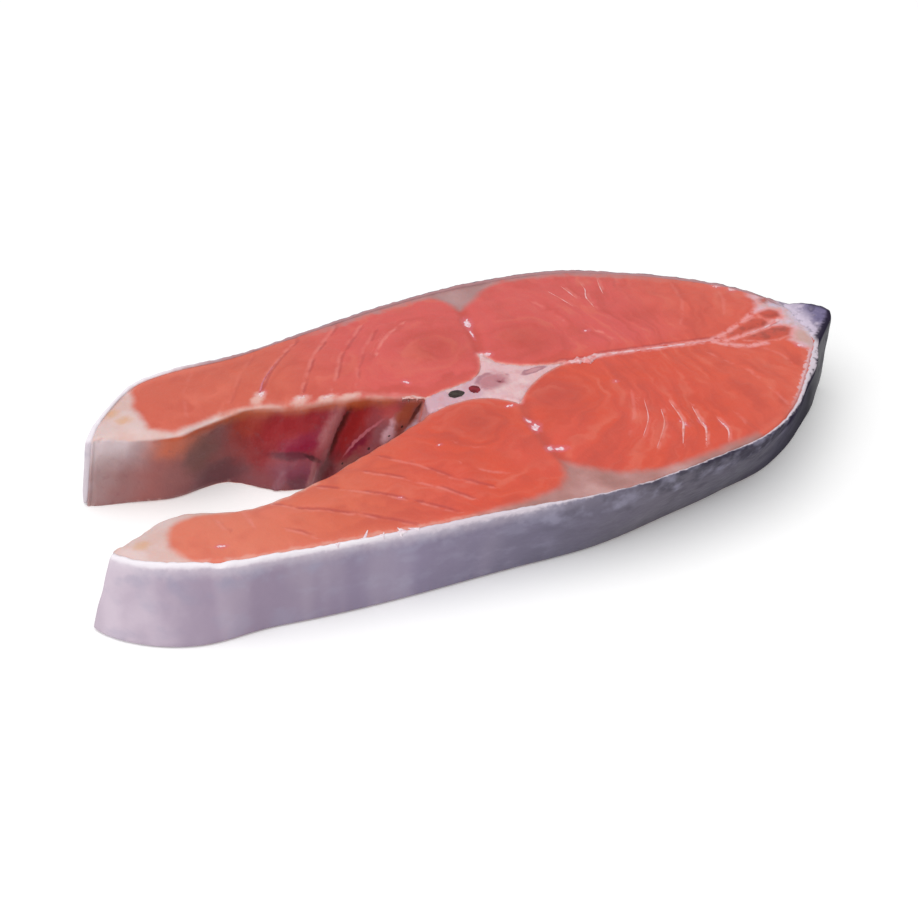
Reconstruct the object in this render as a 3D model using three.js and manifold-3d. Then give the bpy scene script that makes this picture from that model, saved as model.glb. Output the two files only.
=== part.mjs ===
// Raw salmon steak: a thick cross-cut through the fish, lying on its lower cut face.
// The back of the fish points along +X and the two belly flaps along -X, with +Z up.
// It has three pieces: the flesh round the open belly cavity, the section of backbone
// set into it, and the strip of skin round the outside, which ends in a fin stub.
import * as THREE from "three";
import { mergeVertices } from "three/addons/utils/BufferGeometryUtils.js";
import Module from "manifold-3d";

// Driving dimensions, in millimetres.
const LENGTH = 210; // upper cut face, belly flap tip to fin stub tip
const WIDTH = 103; // upper cut face, skin to skin
const THICKNESS = 21; // lower cut face to the rim of the upper one
const SKIN = 1.2; // thickness of the skin strip
const SKIN_CLEARANCE = 0.4; // height of the skin's lower edge above the lower cut face
const SKIN_LIP = 0.3; // height of the skin's upper edge above the rim of the flesh
const GAP = 0.3; // clearance between neighbouring pieces

// The fish tapers towards its tail, so the lower cut face differs from the upper one.
// A reach gives the places along the fish where a change starts, is largest and ends.
const LEAN = 5; // shift of the lower cut face towards the belly
const FAR_UPRIGHT = 2; // how much less the far belly flap leans
const FIN_SWAY = 4.5; // sideways shift of the fin stub's foot
const FIN_SWAY_START = 50;
const SHOULDER_TUCK = { size: 9.5, reach: [-75, 52, 84] }; // skin steps in under the back
const FLAP_FLARE = { size: 4, reach: [-125, -100, -72] }; // skin steps out, near flap
const CAVITY_TAPER = { size: 0.6, reach: [-72, -50, -18] }; // share of width lost below
const CAVITY_FLARE = { size: 0.14, reach: [-104, -87, -70] }; // share of width gained
const BONE_TAPER = { size: 0.1, reach: [-30, -10, 19] }; // share of width lost below
const WALL_CURVE = 1.4; // above 1 the skin bulges between the two cut faces

// Relief of the upper cut face.
const LOBE_RISE = 0.8; // swell of each muscle lobe
const SEAM_DEPTH = 0.7; // furrow from the backbone to the lateral line
const SEAM_WIDTH = 2.4; // half width of that furrow
const FLAKE_DEPTH = 0.25; // furrows between the flakes
const FLAKE_STATIONS = 3; // stations of the grid from one flake to the next
const RIM_DROP = 0.7; // rounding of the edge at the belly cavity
const RIM_SHARPNESS = 12;
const TIP_DROP = 1.2; // fall of the upper face towards a belly flap's tip
const TIP_SHARE = 0.3; // share of the flap over which it falls

// Steps of the grid in each stretch along the fish, across a half and down a wall.
const FLAP_STEPS = 30;
const NECK_STEPS = 8;
const CROWN_STEPS = 8;
const BACK_STEPS = 24;
const HALF_STEPS = 11;
const WALL_STEPS = 4;
const BONE_STEPS = 8;
const FIN_STEPS = 6;

// Outlines of the upper cut face in millimetres from the middle of the backbone, each
// drawn from the belly towards the back for a steak of DRAWN_LENGTH by DRAWN_WIDTH.
const DRAWN_LENGTH = 210;
const DRAWN_WIDTH = 103;
const MIDLINE = [[-115, -4.7], [-21, 0], [0, 3], [19.2, 4], [45, 1], [60, -1.2], [97, -0.8]];
const BONE_POINT_X = 19.2;
const FIN_ROOT = [85.4, -1.6];
const FIN_TIP = [97, -0.8];
const FAR_HALF = {
  side: 1,
  skin: [
    [-106, 19.5], [-103.5, 24], [-97, 31.2], [-89, 37.8], [-78, 40.4], [-60, 40.5], [-40, 44],
    [-15, 48.5], [10, 50.2], [34, 47.5], [52, 39.3], [66, 30.3], [77, 21], [85.4, 9],
  ],
  cavity: [
    [-103.2, 18], [-91, 13.1], [-84, 11.4], [-74, 14], [-65, 15.8], [-52, 12.9], [-37, 10.5],
    [-28, 6.6], [-20.5, 2.8],
  ],
  neck: [[-20.5, 2.8], [-13, 4.5], [-6, 6], [-2.2, 10.5], [-0.3, 17]],
  crown: [[-0.3, 17], [1.8, 11.5], [5, 8.4], [13, 5], [BONE_POINT_X, 4]],
  lateralX: 3.4,
};
const NEAR_HALF = {
  side: -1,
  skin: [
    [-113, -28], [-110.5, -31.6], [-101, -37.8], [-90, -42.9], [-76, -45], [-48, -48],
    [-18, -50.5], [10, -53.1], [32, -50.6], [53, -46], [64, -38.9], [74, -27.8], [85.4, -12.8],
  ],
  cavity: [
    [-110.3, -26.3], [-101, -21], [-93, -19.3], [-84, -22.6], [-76, -24.1], [-62, -20.8],
    [-39, -11.4], [-28, -6.2], [-22, -3.2],
  ],
  neck: [[-22, -3.2], [-13, -2], [-8, -2.4], [-3.5, -4.7], [0.3, -8.4]],
  crown: [[0.3, -8.4], [3, -5.4], [6.1, -2.2], [13.5, 2.4], [BONE_POINT_X, 4]],
  lateralX: 0.6,
};
const APEX_SKIN_X = -16; // where the flake from the cavity's apex meets the skin
const CROWN_SKIN_X = 15; // where the flake from the backbone's point meets the skin

// Pits in both faces of the backbone: centre, half sizes across the face and depth.
const BONE_PITS = [
  { at: [-13.2, 1.3], half: [2.5, 1.9], depth: 3.5 }, // large vessel
  { at: [-7.8, 1.6], half: [1.7, 1.9], depth: 2.6 }, // small vessel
  { at: [-0.3, 2.7], half: [1.1, 1.0], depth: 1.2 }, // middle of the vertebra
];

const FLESH_MATERIAL = new THREE.MeshStandardMaterial({
  color: 0xd9714a,
  roughness: 0.4,
  metalness: 0,
});
const SKIN_MATERIAL = new THREE.MeshStandardMaterial({
  color: 0x9c98a6,
  roughness: 0.45,
  metalness: 0,
});
const BONE_MATERIAL = new THREE.MeshStandardMaterial({
  color: 0xdcb3a3,
  roughness: 0.5,
  metalness: 0,
});

const { smoothstep, lerp } = THREE.MathUtils;
const wasm = await Module();
wasm.setup();

// A drawn point stretched to the steak's real length and width.
function stretched([x, y]) {
  return new THREE.Vector2((x * LENGTH) / DRAWN_LENGTH, (y * WIDTH) / DRAWN_WIDTH);
}

function curveThrough(points) {
  const nodes = points.map(stretched).map((p) => new THREE.Vector3(p.x, p.y, 0));
  return new THREE.CatmullRomCurve3(nodes, false, "centripetal");
}

const midlineNodes = MIDLINE.map(stretched);
const midlineCurve = new THREE.CubicInterpolant(
  new Float64Array(midlineNodes.map((p) => p.x)),
  new Float64Array(midlineNodes.map((p) => p.y)),
  1,
  new Float64Array(1),
);

// The fish's plane of symmetry, bent a little as the steak lies.
function midlineY(x) {
  return midlineCurve.evaluate(x)[0];
}

// A change along the fish: nothing at both ends of its reach and its full size between.
function changeAt(x, { size, reach: [start, peak, end] }) {
  return size * (x < peak ? smoothstep(x, start, peak) : 1 - smoothstep(x, peak, end));
}

// Share of a curve's length at which it reaches a given x; x grows along every curve.
function shareAtX(curve, x) {
  let low = 0;
  let high = 1;
  for (let step = 0; step < 40; step += 1) {
    const middle = (low + high) / 2;
    if (curve.getPointAt(middle).x < x) low = middle;
    else high = middle;
  }
  return low;
}

// Evenly spaced points of a curve between two shares of its length, ends included.
function sampled(curve, steps, from = 0, to = 1) {
  return Array.from({ length: steps + 1 }, (_, i) => curve.getPointAt(lerp(from, to, i / steps)));
}

// Joins stretches of points that share their end points.
function joined(stretches) {
  return stretches.flatMap((points, i) => (i === 0 ? points : points.slice(1)));
}

// Unit normals of an open line of points, pointing to the left of its direction.
function leftNormals(points) {
  return points.map((_, i) => {
    const before = points[Math.max(i - 1, 0)];
    const after = points[Math.min(i + 1, points.length - 1)];
    return new THREE.Vector2(before.y - after.y, after.x - before.x).normalize();
  });
}

// How far the lower cut face lies towards the belly from the upper one.
function leanAt({ x, y }) {
  return LEAN - FAR_UPRIGHT * smoothstep(y, 0, 15) * (1 - smoothstep(x, -90, -50));
}

// How far the lower cut face lies to the near side from the upper one.
function swayAt({ x }) {
  return FIN_SWAY * smoothstep(x, FIN_SWAY_START, FIN_TIP[0]);
}

// How far the skin steps inwards from the upper to the lower cut face.
function tuckAt({ x, y }) {
  const flare = y < 0 ? changeAt(x, FLAP_FLARE) : 0;
  return changeAt(x, SHOULDER_TUCK) - flare;
}

// A point of the outer wall at a depth from 0 (upper face) to 1 (lower face).
function wallPoint(point, inward, inset, depth) {
  const tuck = inset + tuckAt(point) * Math.pow(depth, WALL_CURVE);
  return new THREE.Vector2(
    point.x + inward.x * tuck - leanAt(point) * depth,
    point.y + inward.y * tuck - swayAt(point) * depth,
  );
}

// A point on the cavity's wall, the backbone's slot or the midline, at a depth.
function innerPoint(point, depth) {
  const axis = midlineY(point.x);
  const lost = changeAt(point.x, CAVITY_TAPER) + changeAt(point.x, BONE_TAPER);
  const widen = 1 + (changeAt(point.x, CAVITY_FLARE) - lost) * depth;
  return new THREE.Vector2(
    point.x - leanAt(point) * depth,
    axis + (point.y - axis) * widen - swayAt(point) * depth,
  );
}

// The stations of one half: matching points on its inner edge and on the skin.
function halfStations(half) {
  const skin = curveThrough(half.skin);
  const backNodes = MIDLINE.filter(([x]) => x >= BONE_POINT_X && x < FIN_ROOT[0]);
  const backEnd = [FIN_ROOT[0] - GAP, FIN_ROOT[1]];
  const innerCurves = [half.cavity, half.neck, half.crown, [...backNodes, backEnd]];
  const steps = [FLAP_STEPS, NECK_STEPS, CROWN_STEPS, BACK_STEPS];
  const skinStops = [APEX_SKIN_X, half.lateralX, CROWN_SKIN_X].map((x) => shareAtX(skin, x));
  const shares = [0, ...skinStops, 1];
  const inner = joined(innerCurves.map((nodes, k) => sampled(curveThrough(nodes), steps[k])));
  const outer = joined(steps.map((count, k) => sampled(skin, count, shares[k], shares[k + 1])));
  const inward = leftNormals(outer).map((normal) => normal.multiplyScalar(-half.side));
  return { inner, outer, inward };
}

// Height of the upper cut face above its rim at a station, a share v across the half.
function topRelief(station, v, seamDistance) {
  const middle = Math.sin(Math.PI * v);
  const seam = SEAM_DEPTH * Math.exp(-Math.pow(seamDistance / SEAM_WIDTH, 2));
  const flake = station % FLAKE_STATIONS === 0 ? FLAKE_DEPTH : 0;
  const rim = station <= FLAP_STEPS ? RIM_DROP * Math.pow(1 - v, RIM_SHARPNESS) : 0;
  const tip = TIP_DROP * (1 - smoothstep(station, 0, TIP_SHARE * FLAP_STEPS));
  return middle * (LOBE_RISE - seam - flake) - rim - tip;
}

// The flesh of one half as a function of station, share across and depth.
function halfSolid(half) {
  const { inner, outer, inward } = halfStations(half);
  const seamStation = FLAP_STEPS + NECK_STEPS;
  const acrossX = (station, v) => lerp(inner[station].x, outer[station].x, v);
  return (station, v, depth) => {
    const inside = innerPoint(inner[station], depth);
    const outside = wallPoint(outer[station], inward[station], SKIN + GAP, depth);
    const place = inside.lerp(outside, v);
    const seamDistance = acrossX(station, v) - acrossX(seamStation, v);
    const top = THICKNESS + topRelief(station, v, seamDistance);
    return new THREE.Vector3(place.x, place.y, top * (1 - depth));
  };
}

// A sheet of quads, each as two triangles, from a function of two whole-number steps.
function sheet(columns, rows, pointAt, flip = false) {
  const order = flip ? [0, 2, 1, 0, 3, 2] : [0, 1, 2, 0, 2, 3];
  const points = [];
  for (let i = 0; i < columns; i += 1) {
    for (let j = 0; j < rows; j += 1) {
      const corners = [pointAt(i, j), pointAt(i + 1, j), pointAt(i + 1, j + 1), pointAt(i, j + 1)];
      points.push(...order.map((k) => corners[k]));
    }
  }
  return points;
}

// One closed geometry from triangles whose corners meet; collapsed triangles are left out.
function closedGeometry(points) {
  const merged = mergeVertices(new THREE.BufferGeometry().setFromPoints(points), 1e-3);
  const index = Array.from(merged.index.array);
  const kept = [];
  for (let k = 0; k < index.length; k += 3) {
    const [a, b, c] = index.slice(k, k + 3);
    if (a !== b && b !== c && c !== a) kept.push(a, b, c);
  }
  merged.setIndex(kept);
  return merged;
}

function solidOf(geometry) {
  return new wasm.Manifold(new wasm.Mesh({
    numProp: 3,
    vertProperties: new Float32Array(geometry.attributes.position.array),
    triVerts: new Uint32Array(geometry.index.array),
  }));
}

function geometryOf(solid) {
  const mesh = solid.getMesh();
  const geometry = new THREE.BufferGeometry();
  geometry.setAttribute("position", new THREE.BufferAttribute(mesh.vertProperties, 3));
  geometry.setIndex(new THREE.BufferAttribute(mesh.triVerts, 1));
  return geometry;
}

function namedMesh(name, geometry, material) {
  geometry.computeVertexNormals();
  const mesh = new THREE.Mesh(geometry, material);
  mesh.name = name;
  return mesh;
}

// Both halves of the flesh, which share the midline beyond the backbone's slot.
function fleshMesh() {
  const slotEnd = FLAP_STEPS + NECK_STEPS + CROWN_STEPS;
  const last = slotEnd + BACK_STEPS;
  const across = (j) => j / HALF_STEPS;
  const down = (k) => k / WALL_STEPS;
  const points = [FAR_HALF, NEAR_HALF].flatMap((half) => {
    const solid = halfSolid(half);
    const near = half.side < 0;
    return [
      ...sheet(last, HALF_STEPS, (i, j) => solid(i, across(j), 0), near),
      ...sheet(last, HALF_STEPS, (i, j) => solid(i, across(j), 1), !near),
      ...sheet(last, WALL_STEPS, (i, k) => solid(i, 1, down(k)), near),
      ...sheet(slotEnd, WALL_STEPS, (i, k) => solid(i, 0, down(k)), !near),
      ...sheet(HALF_STEPS, WALL_STEPS, (j, k) => solid(0, across(j), down(k)), near),
      ...sheet(HALF_STEPS, WALL_STEPS, (j, k) => solid(last, across(j), down(k)), !near),
    ];
  });
  return namedMesh("flesh", closedGeometry(points), FLESH_MATERIAL);
}

// Outer and inner edge of the fin stub at a depth, from the near side round to the far one.
function stubEdges(nearRoot, farRoot, depth) {
  const still = new THREE.Vector2(0, 0);
  const tip = stretched(FIN_TIP);
  const rootMiddle = stretched(FIN_ROOT);
  return Array.from({ length: 2 * FIN_STEPS - 1 }, (_, i) => {
    const share = (i + 1) / FIN_STEPS - 1;
    const root = share < 0 ? nearRoot : farRoot;
    const rootInside = wallPoint(root.outer, root.inward, SKIN, 0);
    const outer = tip.clone().lerp(root.outer, Math.abs(share));
    const inner = rootMiddle.clone().lerp(rootInside, Math.abs(share));
    return {
      outer: wallPoint(outer, still, 0, depth),
      inner: wallPoint(inner, still, 0, depth),
    };
  });
}

// Outer and inner edge of the skin at a depth, from the near flap round to the far one.
function skinEdges(depth) {
  const strips = [NEAR_HALF, FAR_HALF].map((half) => {
    const { outer, inward } = halfStations(half);
    return outer.map((point, i) => ({ outer: point, inward: inward[i] }));
  });
  const [nearEdges, farEdges] = strips.map((strip) => strip.map(({ outer, inward }) => ({
    outer: wallPoint(outer, inward, 0, depth),
    inner: wallPoint(outer, inward, SKIN, depth),
  })));
  const [nearRoot, farRoot] = strips.map((strip) => strip[strip.length - 1]);
  return [...nearEdges, ...stubEdges(nearRoot, farRoot, depth), ...farEdges.reverse()];
}

// The skin strip, thickened to a solid wedge where it becomes the fin stub.
function skinMesh() {
  const lowest = 1 - SKIN_CLEARANCE / THICKNESS;
  const depths = Array.from({ length: WALL_STEPS + 1 }, (_, k) => (lowest * k) / WALL_STEPS);
  const levels = depths.map(skinEdges);
  const last = levels[0].length - 1;
  const at = (edge, i, k) => {
    const place = levels[k][i][edge];
    const fromTip = Math.min(i, last - i);
    const lip = SKIN_LIP - TIP_DROP * (1 - smoothstep(fromTip, 0, TIP_SHARE * FLAP_STEPS));
    return new THREE.Vector3(place.x, place.y, (THICKNESS + lip) * (1 - depths[k]));
  };
  const across = (i, j, k) => at(j === 0 ? "outer" : "inner", i, k);
  const points = [
    ...sheet(last, WALL_STEPS, (i, k) => at("outer", i, k), true),
    ...sheet(last, WALL_STEPS, (i, k) => at("inner", i, k)),
    ...sheet(last, 1, (i, j) => across(i, j, 0)),
    ...sheet(last, 1, (i, j) => across(i, j, WALL_STEPS), true),
    ...sheet(1, WALL_STEPS, (j, k) => across(0, j, k)),
    ...sheet(1, WALL_STEPS, (j, k) => across(last, j, k), true),
  ];
  return namedMesh("skin", closedGeometry(points), SKIN_MATERIAL);
}

// A closed loop moved inwards by a distance, with the reach of sharp corners limited.
function insetLoop(loop, distance) {
  const reachLimit = 2.5;
  const edgeNormal = (from, to) => new THREE.Vector2(from.y - to.y, to.x - from.x).normalize();
  return loop.map((point, i) => {
    const before = loop[(i + loop.length - 1) % loop.length];
    const after = loop[(i + 1) % loop.length];
    const first = edgeNormal(before, point);
    const bisector = edgeNormal(point, after).add(first).normalize();
    const reach = Math.min(1 / Math.max(bisector.dot(first), 1e-3), reachLimit);
    return new THREE.Vector2(point.x, point.y).addScaledVector(bisector, distance * reach);
  });
}

// Matching points on the two long edges of the backbone, inside the flesh's slot.
function boneEdges() {
  const [near, far] = [NEAR_HALF, FAR_HALF].map((half) => joined([
    sampled(curveThrough(half.neck), NECK_STEPS),
    sampled(curveThrough(half.crown), CROWN_STEPS),
  ]));
  const loop = insetLoop([...near, ...far.slice(0, -1).reverse()], GAP);
  const nearInset = loop.slice(0, near.length);
  const farInset = [...loop.slice(near.length).reverse(), loop[near.length - 1]];
  return { near: nearInset, far: farInset };
}

// The hollows of the vessels and of the vertebra's middle, in both faces.
function bonePits() {
  return BONE_PITS.flatMap(({ at, half, depth }) => [0, 1].map((face) => {
    const centre = innerPoint(stretched(at), face);
    const pit = new THREE.SphereGeometry(1, 16, 10);
    pit.scale(half[0], half[1], depth);
    pit.translate(centre.x, centre.y, THICKNESS * (1 - face));
    pit.deleteAttribute("normal");
    pit.deleteAttribute("uv");
    return solidOf(mergeVertices(pit, 1e-4));
  }));
}

// The section of backbone: a four-pointed prism with a neck that reaches the cavity.
function boneMesh() {
  const { near, far } = boneEdges();
  const last = near.length - 1;
  const across = (j) => j / BONE_STEPS;
  const down = (k) => k / WALL_STEPS;
  const solid = (i, v, depth) => {
    const place = innerPoint(near[i], depth).lerp(innerPoint(far[i], depth), v);
    return new THREE.Vector3(place.x, place.y, THICKNESS * (1 - depth));
  };
  const prism = closedGeometry([
    ...sheet(last, BONE_STEPS, (i, j) => solid(i, across(j), 0)),
    ...sheet(last, BONE_STEPS, (i, j) => solid(i, across(j), 1), true),
    ...sheet(last, WALL_STEPS, (i, k) => solid(i, 0, down(k)), true),
    ...sheet(last, WALL_STEPS, (i, k) => solid(i, 1, down(k))),
    ...sheet(BONE_STEPS, WALL_STEPS, (j, k) => solid(0, across(j), down(k))),
  ]);
  const pitted = bonePits().reduce((body, pit) => body.subtract(pit), solidOf(prism));
  return namedMesh("backbone", geometryOf(pitted), BONE_MATERIAL);
}

const steak = new THREE.Group();
steak.add(fleshMesh(), skinMesh(), boneMesh());

// The origin is the middle of the footprint, on the surface that the steak lies on.
const extent = new THREE.Box3().setFromObject(steak, true);
const middle = extent.getCenter(new THREE.Vector3());
steak.position.set(-middle.x, -middle.y, -extent.min.z);
steak.updateMatrixWorld(true);

export default steak;
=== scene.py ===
"""Looks of a raw salmon steak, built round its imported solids.

Plan points are millimetres from the middle of the backbone on the upper cut face, with +x towards
the back of the fish and +y towards the far side. Meshes are in metres, in the frame of the solids.
"""

import logging
import math
import random
from contextlib import contextmanager
from dataclasses import dataclass
from enum import Enum
from functools import cache, partial, reduce
from typing import Iterator, Optional, Sequence, Union

import bpy
import numpy as np
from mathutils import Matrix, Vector, noise
from mathutils.bvhtree import BVHTree


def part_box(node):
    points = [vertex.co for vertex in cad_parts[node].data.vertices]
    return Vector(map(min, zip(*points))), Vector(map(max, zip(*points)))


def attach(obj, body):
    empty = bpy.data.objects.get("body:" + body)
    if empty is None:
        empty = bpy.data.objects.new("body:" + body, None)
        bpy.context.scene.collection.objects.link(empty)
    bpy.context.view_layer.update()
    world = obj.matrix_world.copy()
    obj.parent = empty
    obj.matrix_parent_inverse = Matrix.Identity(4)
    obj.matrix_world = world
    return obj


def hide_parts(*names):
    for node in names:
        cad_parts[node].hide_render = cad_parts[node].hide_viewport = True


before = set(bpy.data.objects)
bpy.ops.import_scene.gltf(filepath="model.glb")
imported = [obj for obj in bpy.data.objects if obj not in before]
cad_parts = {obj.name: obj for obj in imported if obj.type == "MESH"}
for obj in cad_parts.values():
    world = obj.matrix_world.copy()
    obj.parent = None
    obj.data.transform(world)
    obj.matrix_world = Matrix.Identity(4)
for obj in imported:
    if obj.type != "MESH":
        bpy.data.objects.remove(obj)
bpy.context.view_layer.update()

LOG = logging.getLogger("salmon_steak")
Array = np.ndarray
Piece = bpy.types.Object
Material = bpy.types.Material
Node = bpy.types.Node
Socket = bpy.types.NodeSocket
Colour = tuple[float, float, float]
Stops = Sequence[tuple[float, Colour]]
Point = tuple[float, float]
Line = tuple[Point, ...]
Input = Union[float, Colour, Socket]
Feeds = dict[Union[str, int], Input]

BODY = "root"
MM = 0.001
SPINE = np.array((11.2, 1.45))  # middle of the backbone in the frame's plan
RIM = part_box("backbone")[1].z / MM  # height of the upper cut face
LEAN = 5.0  # shift of the lower cut face towards the belly
GAP = 0.3  # gap between the solids
LIGHT_SPREAD: Colour = (1.0, 0.35, 0.2)  # how far red, green and blue light spreads in tissue


def paint(red: int, green: int, blue: int) -> Colour:
    """Turns a colour of 0 to 255, as a screen shows it, into the linear one that a shader takes."""
    seen = np.array((red, green, blue)) / 255
    return tuple(np.where(seen <= 0.04045, seen / 12.92, ((seen + 0.055) / 1.055) ** 2.4).tolist())


class Mark(Enum):
    """How a line between flakes shows."""

    # A furrow shows as painted shade in it with a painted highlight on its pale edge
    FURROW = "dark furrow with a pale edge"
    HAIR = "pale hairline"
    STREAK = "bright strip of fat"


FURROW, HAIR, STREAK = Mark


@dataclass(frozen=True)
class FlakeLine:
    """A line between two flakes.

    Attributes:
        mark: How it shows.
        count: Flakes from the middle of the whorl.
        weight: How strongly it shows, from 0 to 1.
        route: Plan points that it runs through.
    """

    mark: Mark
    count: float
    weight: float
    route: Line


@dataclass(frozen=True)
class Whorl:
    """Rings of flakes round the middle of a muscle lobe.

    Attributes:
        centre: Plan point in the middle.
        pitch: Distance from ring to ring.
    """

    centre: Point
    pitch: float


@dataclass(frozen=True)
class HalfPlan:
    """What shows on the upper cut face of one half.

    Attributes:
        side: 1 for the far half and -1 for the near one.
        whorls: Rings of the belly lobe and of the back lobe.
        flakes: Lines between the flakes.
        lateral: Seam from the backbone to the lateral line.
        fat: Outline of the fat at the lateral line.
        flap: Outline of the white end of the belly flap.
    """

    side: int
    whorls: tuple[Whorl, ...]
    flakes: tuple[FlakeLine, ...]
    lateral: Line
    fat: Line
    flap: Line


FAR_PLAN = HalfPlan(
    side=1,
    whorls=(Whorl((-9.9, 23.3), 5.0), Whorl((13.9, 18.0), 5.0)),
    flakes=(
        FlakeLine(HAIR, 3, 0.8, ((-13.8, 37.2), (-18.8, 33.9), (-23, 29.8), (-25.7, 25.7))),
        FlakeLine(FURROW, 4, 0.6, ((-22, 36.8), (-28.2, 28.8), (-32.6, 21.4), (-35.1, 15.4))),
        FlakeLine(FURROW, 5, 0.8, (
            (-24.6, 40.6), (-30.1, 34.3), (-35.3, 27.7), (-39.5, 19.2), (-41.8, 15.4),
        )),
        FlakeLine(FURROW, 6, 0.9, (
            (-30.8, 43.2), (-36.5, 37), (-41.2, 31.6), (-46.4, 23.1), (-49.2, 17.6),
        )),
        FlakeLine(FURROW, 8, 1.0, ((-42.6, 41.1), (-48, 36), (-55.1, 28.2), (-59.8, 20.8))),
        FlakeLine(FURROW, 10, 0.3, ((-56, 38), (-62, 30), (-68, 20))),
        FlakeLine(HAIR, 12, 0.2, ((-72, 38), (-78, 28), (-80, 18))),
        FlakeLine(HAIR, 3, 0.5, ((22.9, 33), (24.7, 27.8), (26.2, 21.7))),
        FlakeLine(STREAK, 4, 0.3, ((29, 37.1), (30.5, 32.6), (32.1, 27.5))),
        FlakeLine(STREAK, 5, 0.5, ((33.6, 38.6), (34.1, 35), (34.5, 31.5))),
        FlakeLine(STREAK, 6, 0.5, ((39.1, 37.5), (38.8, 34.2), (37.3, 30.3), (37.1, 24.8))),
        FlakeLine(STREAK, 7, 0.5, ((44.4, 38.2), (43.5, 35.1), (42.5, 30.4))),
        FlakeLine(FURROW, 8, 0.4, ((49.4, 37.8), (48.4, 35), (47.4, 32.9))),
        FlakeLine(HAIR, 4, 0.9, ((33, 13.5), (34.4, 10.8), (35.5, 7.7))),
        FlakeLine(HAIR, 10, 0.3, ((55, 9), (60, 18), (62, 28))),
        FlakeLine(HAIR, 12, 0.3, ((68, 9), (71, 15), (72, 19))),
    ),
    lateral=((-0.1, 17.2), (1.3, 22.4), (2.1, 29.6), (3.6, 39.3)),
    fat=(
        (-9, 48.6), (-1.8, 47.4), (1, 43.7), (3.3, 38.3), (7.1, 40.6), (11.9, 44.8),
        (18, 48.2), (16, 55), (-9, 55),
    ),
    flap=(
        (-86.3, 39.6), (-90, 35.1), (-91.8, 26.1), (-90.5, 16.5), (-85.5, 13.2), (-79, 14.2),
        (-72, 16.2), (-72, 10), (-92, 6), (-114, 14), (-112, 36), (-94, 46), (-86, 44),
    ),
)
NEAR_PLAN = HalfPlan(
    side=-1,
    whorls=(Whorl((-13.2, -12.6), 5.9), Whorl((10.4, -9.4), 5.5)),
    flakes=(
        FlakeLine(HAIR, 2, 0.5, ((-21.4, -19.2), (-17.9, -22.5), (-14.2, -24.5))),
        FlakeLine(HAIR, 3, 0.6, ((-23.7, -27.9), (-20.1, -32.1), (-15.4, -35.4))),
        FlakeLine(FURROW, 4, 0.8, ((-41.1, -17), (-34.3, -23.9), (-28.1, -32.3), (-20.6, -39.4))),
        FlakeLine(FURROW, 5, 0.9, ((-46.7, -21.9), (-38.4, -28.9), (-31.6, -35.7), (-26.8, -41.6))),
        FlakeLine(FURROW, 6, 1.0, (
            (-59, -23), (-54.2, -26.8), (-46.8, -31.9), (-36.7, -40.5), (-31.8, -45),
        )),
        FlakeLine(FURROW, 7, 0.9, (
            (-71.5, -25.3), (-67, -29.7), (-54.9, -37.1), (-46.9, -42.7), (-43, -46),
        )),
        FlakeLine(FURROW, 8, 0.8, ((-71.9, -36.6), (-69.2, -38.9), (-66.7, -41.6))),
        FlakeLine(HAIR, 8, 0.5, ((-79, -26.4), (-79, -29.4), (-79, -32.4))),
        FlakeLine(FURROW, 9, 0.6, ((-86.1, -25.2), (-86, -28.6), (-85.2, -31.9))),
        FlakeLine(HAIR, 4, 0.5, ((28.2, -15.8), (24.1, -25.8), (19.5, -32.4))),
        FlakeLine(STREAK, 5, 0.4, ((29.9, -20.5), (27.3, -28.1), (22.9, -34.3))),
        FlakeLine(STREAK, 6, 0.6, ((32.1, -25.7), (29.9, -32), (23.7, -40.2))),
        FlakeLine(STREAK, 7, 0.8, ((35.6, -23.8), (35, -31.8), (33.1, -36.2), (30.7, -40.8))),
        FlakeLine(STREAK, 8, 1.0, ((40, -27.6), (38.9, -34.8), (38.8, -37.6), (36, -43))),
        FlakeLine(STREAK, 9, 0.8, ((43.6, -34.8), (43.9, -39.7), (42.1, -43.6))),
        FlakeLine(HAIR, 10, 0.4, ((48.7, -35), (49, -37), (49.1, -38.5))),
        FlakeLine(HAIR, 12, 0.5, ((55.4, -7), (61, -19.4), (63.3, -35))),
        FlakeLine(HAIR, 14, 0.4, ((69.6, -11), (72, -15), (73, -19))),
    ),
    lateral=((1.3, -8.2), (-0.7, -17.4), (-1.0, -28.3), (0.3, -36.4)),
    fat=(
        (-34, -48.4), (-14.3, -47.4), (-5.6, -46), (-2.2, -42.6), (-0.2, -36.2), (2, -38.5),
        (5, -42), (10.8, -45.8), (21.5, -48.4), (31.8, -47.3), (50, -44), (53, -52), (32, -57),
        (10, -60), (-18, -57), (-34, -54),
    ),
    flap=(
        (-81, -24), (-90.4, -22.4), (-94.7, -22.8), (-97.5, -24.6), (-100, -31.5), (-97.5, -37.5),
        (-93, -42), (-95, -47), (-120, -40), (-120, -18), (-95, -12), (-81, -19),
    ),
)
HALVES = (FAR_PLAN, NEAR_PLAN)
MIDLINE: Line = (
    (-115, -4.7), (-21, 0), (0, 3), (19.2, 4), (28.8, 3.2), (45, 1), (60, -1.2), (97, -0.8),
)
SEPTUM: Line = ((17.5, 4.1), (21, 3.3), (25, 2.9), (29.5, 3.3), (39.7, 1.7), (50.6, -0.1), (60, -1.6))
FORKS: tuple[Line, ...] = (
    ((59, -1.4), (64.5, 0.3), (68.8, 2.1), (76.8, 6.5)),
    ((59, -1.6), (64.2, -3.3), (69.1, -2.1), (75.6, -1.2), (80.5, 0.3)),
    ((59, -1.9), (63.3, -6), (66.4, -7.9), (71.5, -8.9)),
)
FIN_WEB: Line = (
    (78.8, 14.9), (79.4, 11.4), (77.4, 7.1), (75.5, 5.8), (80.4, 5.6), (82.4, 4.2), (81.6, 0.8),
    (79.1, 0.5), (77.2, -0.8), (80.7, -2.1), (81.8, -4.6), (79.6, -8.1), (78, -9.9), (79.7, -13),
    (81.7, -16), (92, -16), (92, 16), (80, 20),
)
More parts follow.
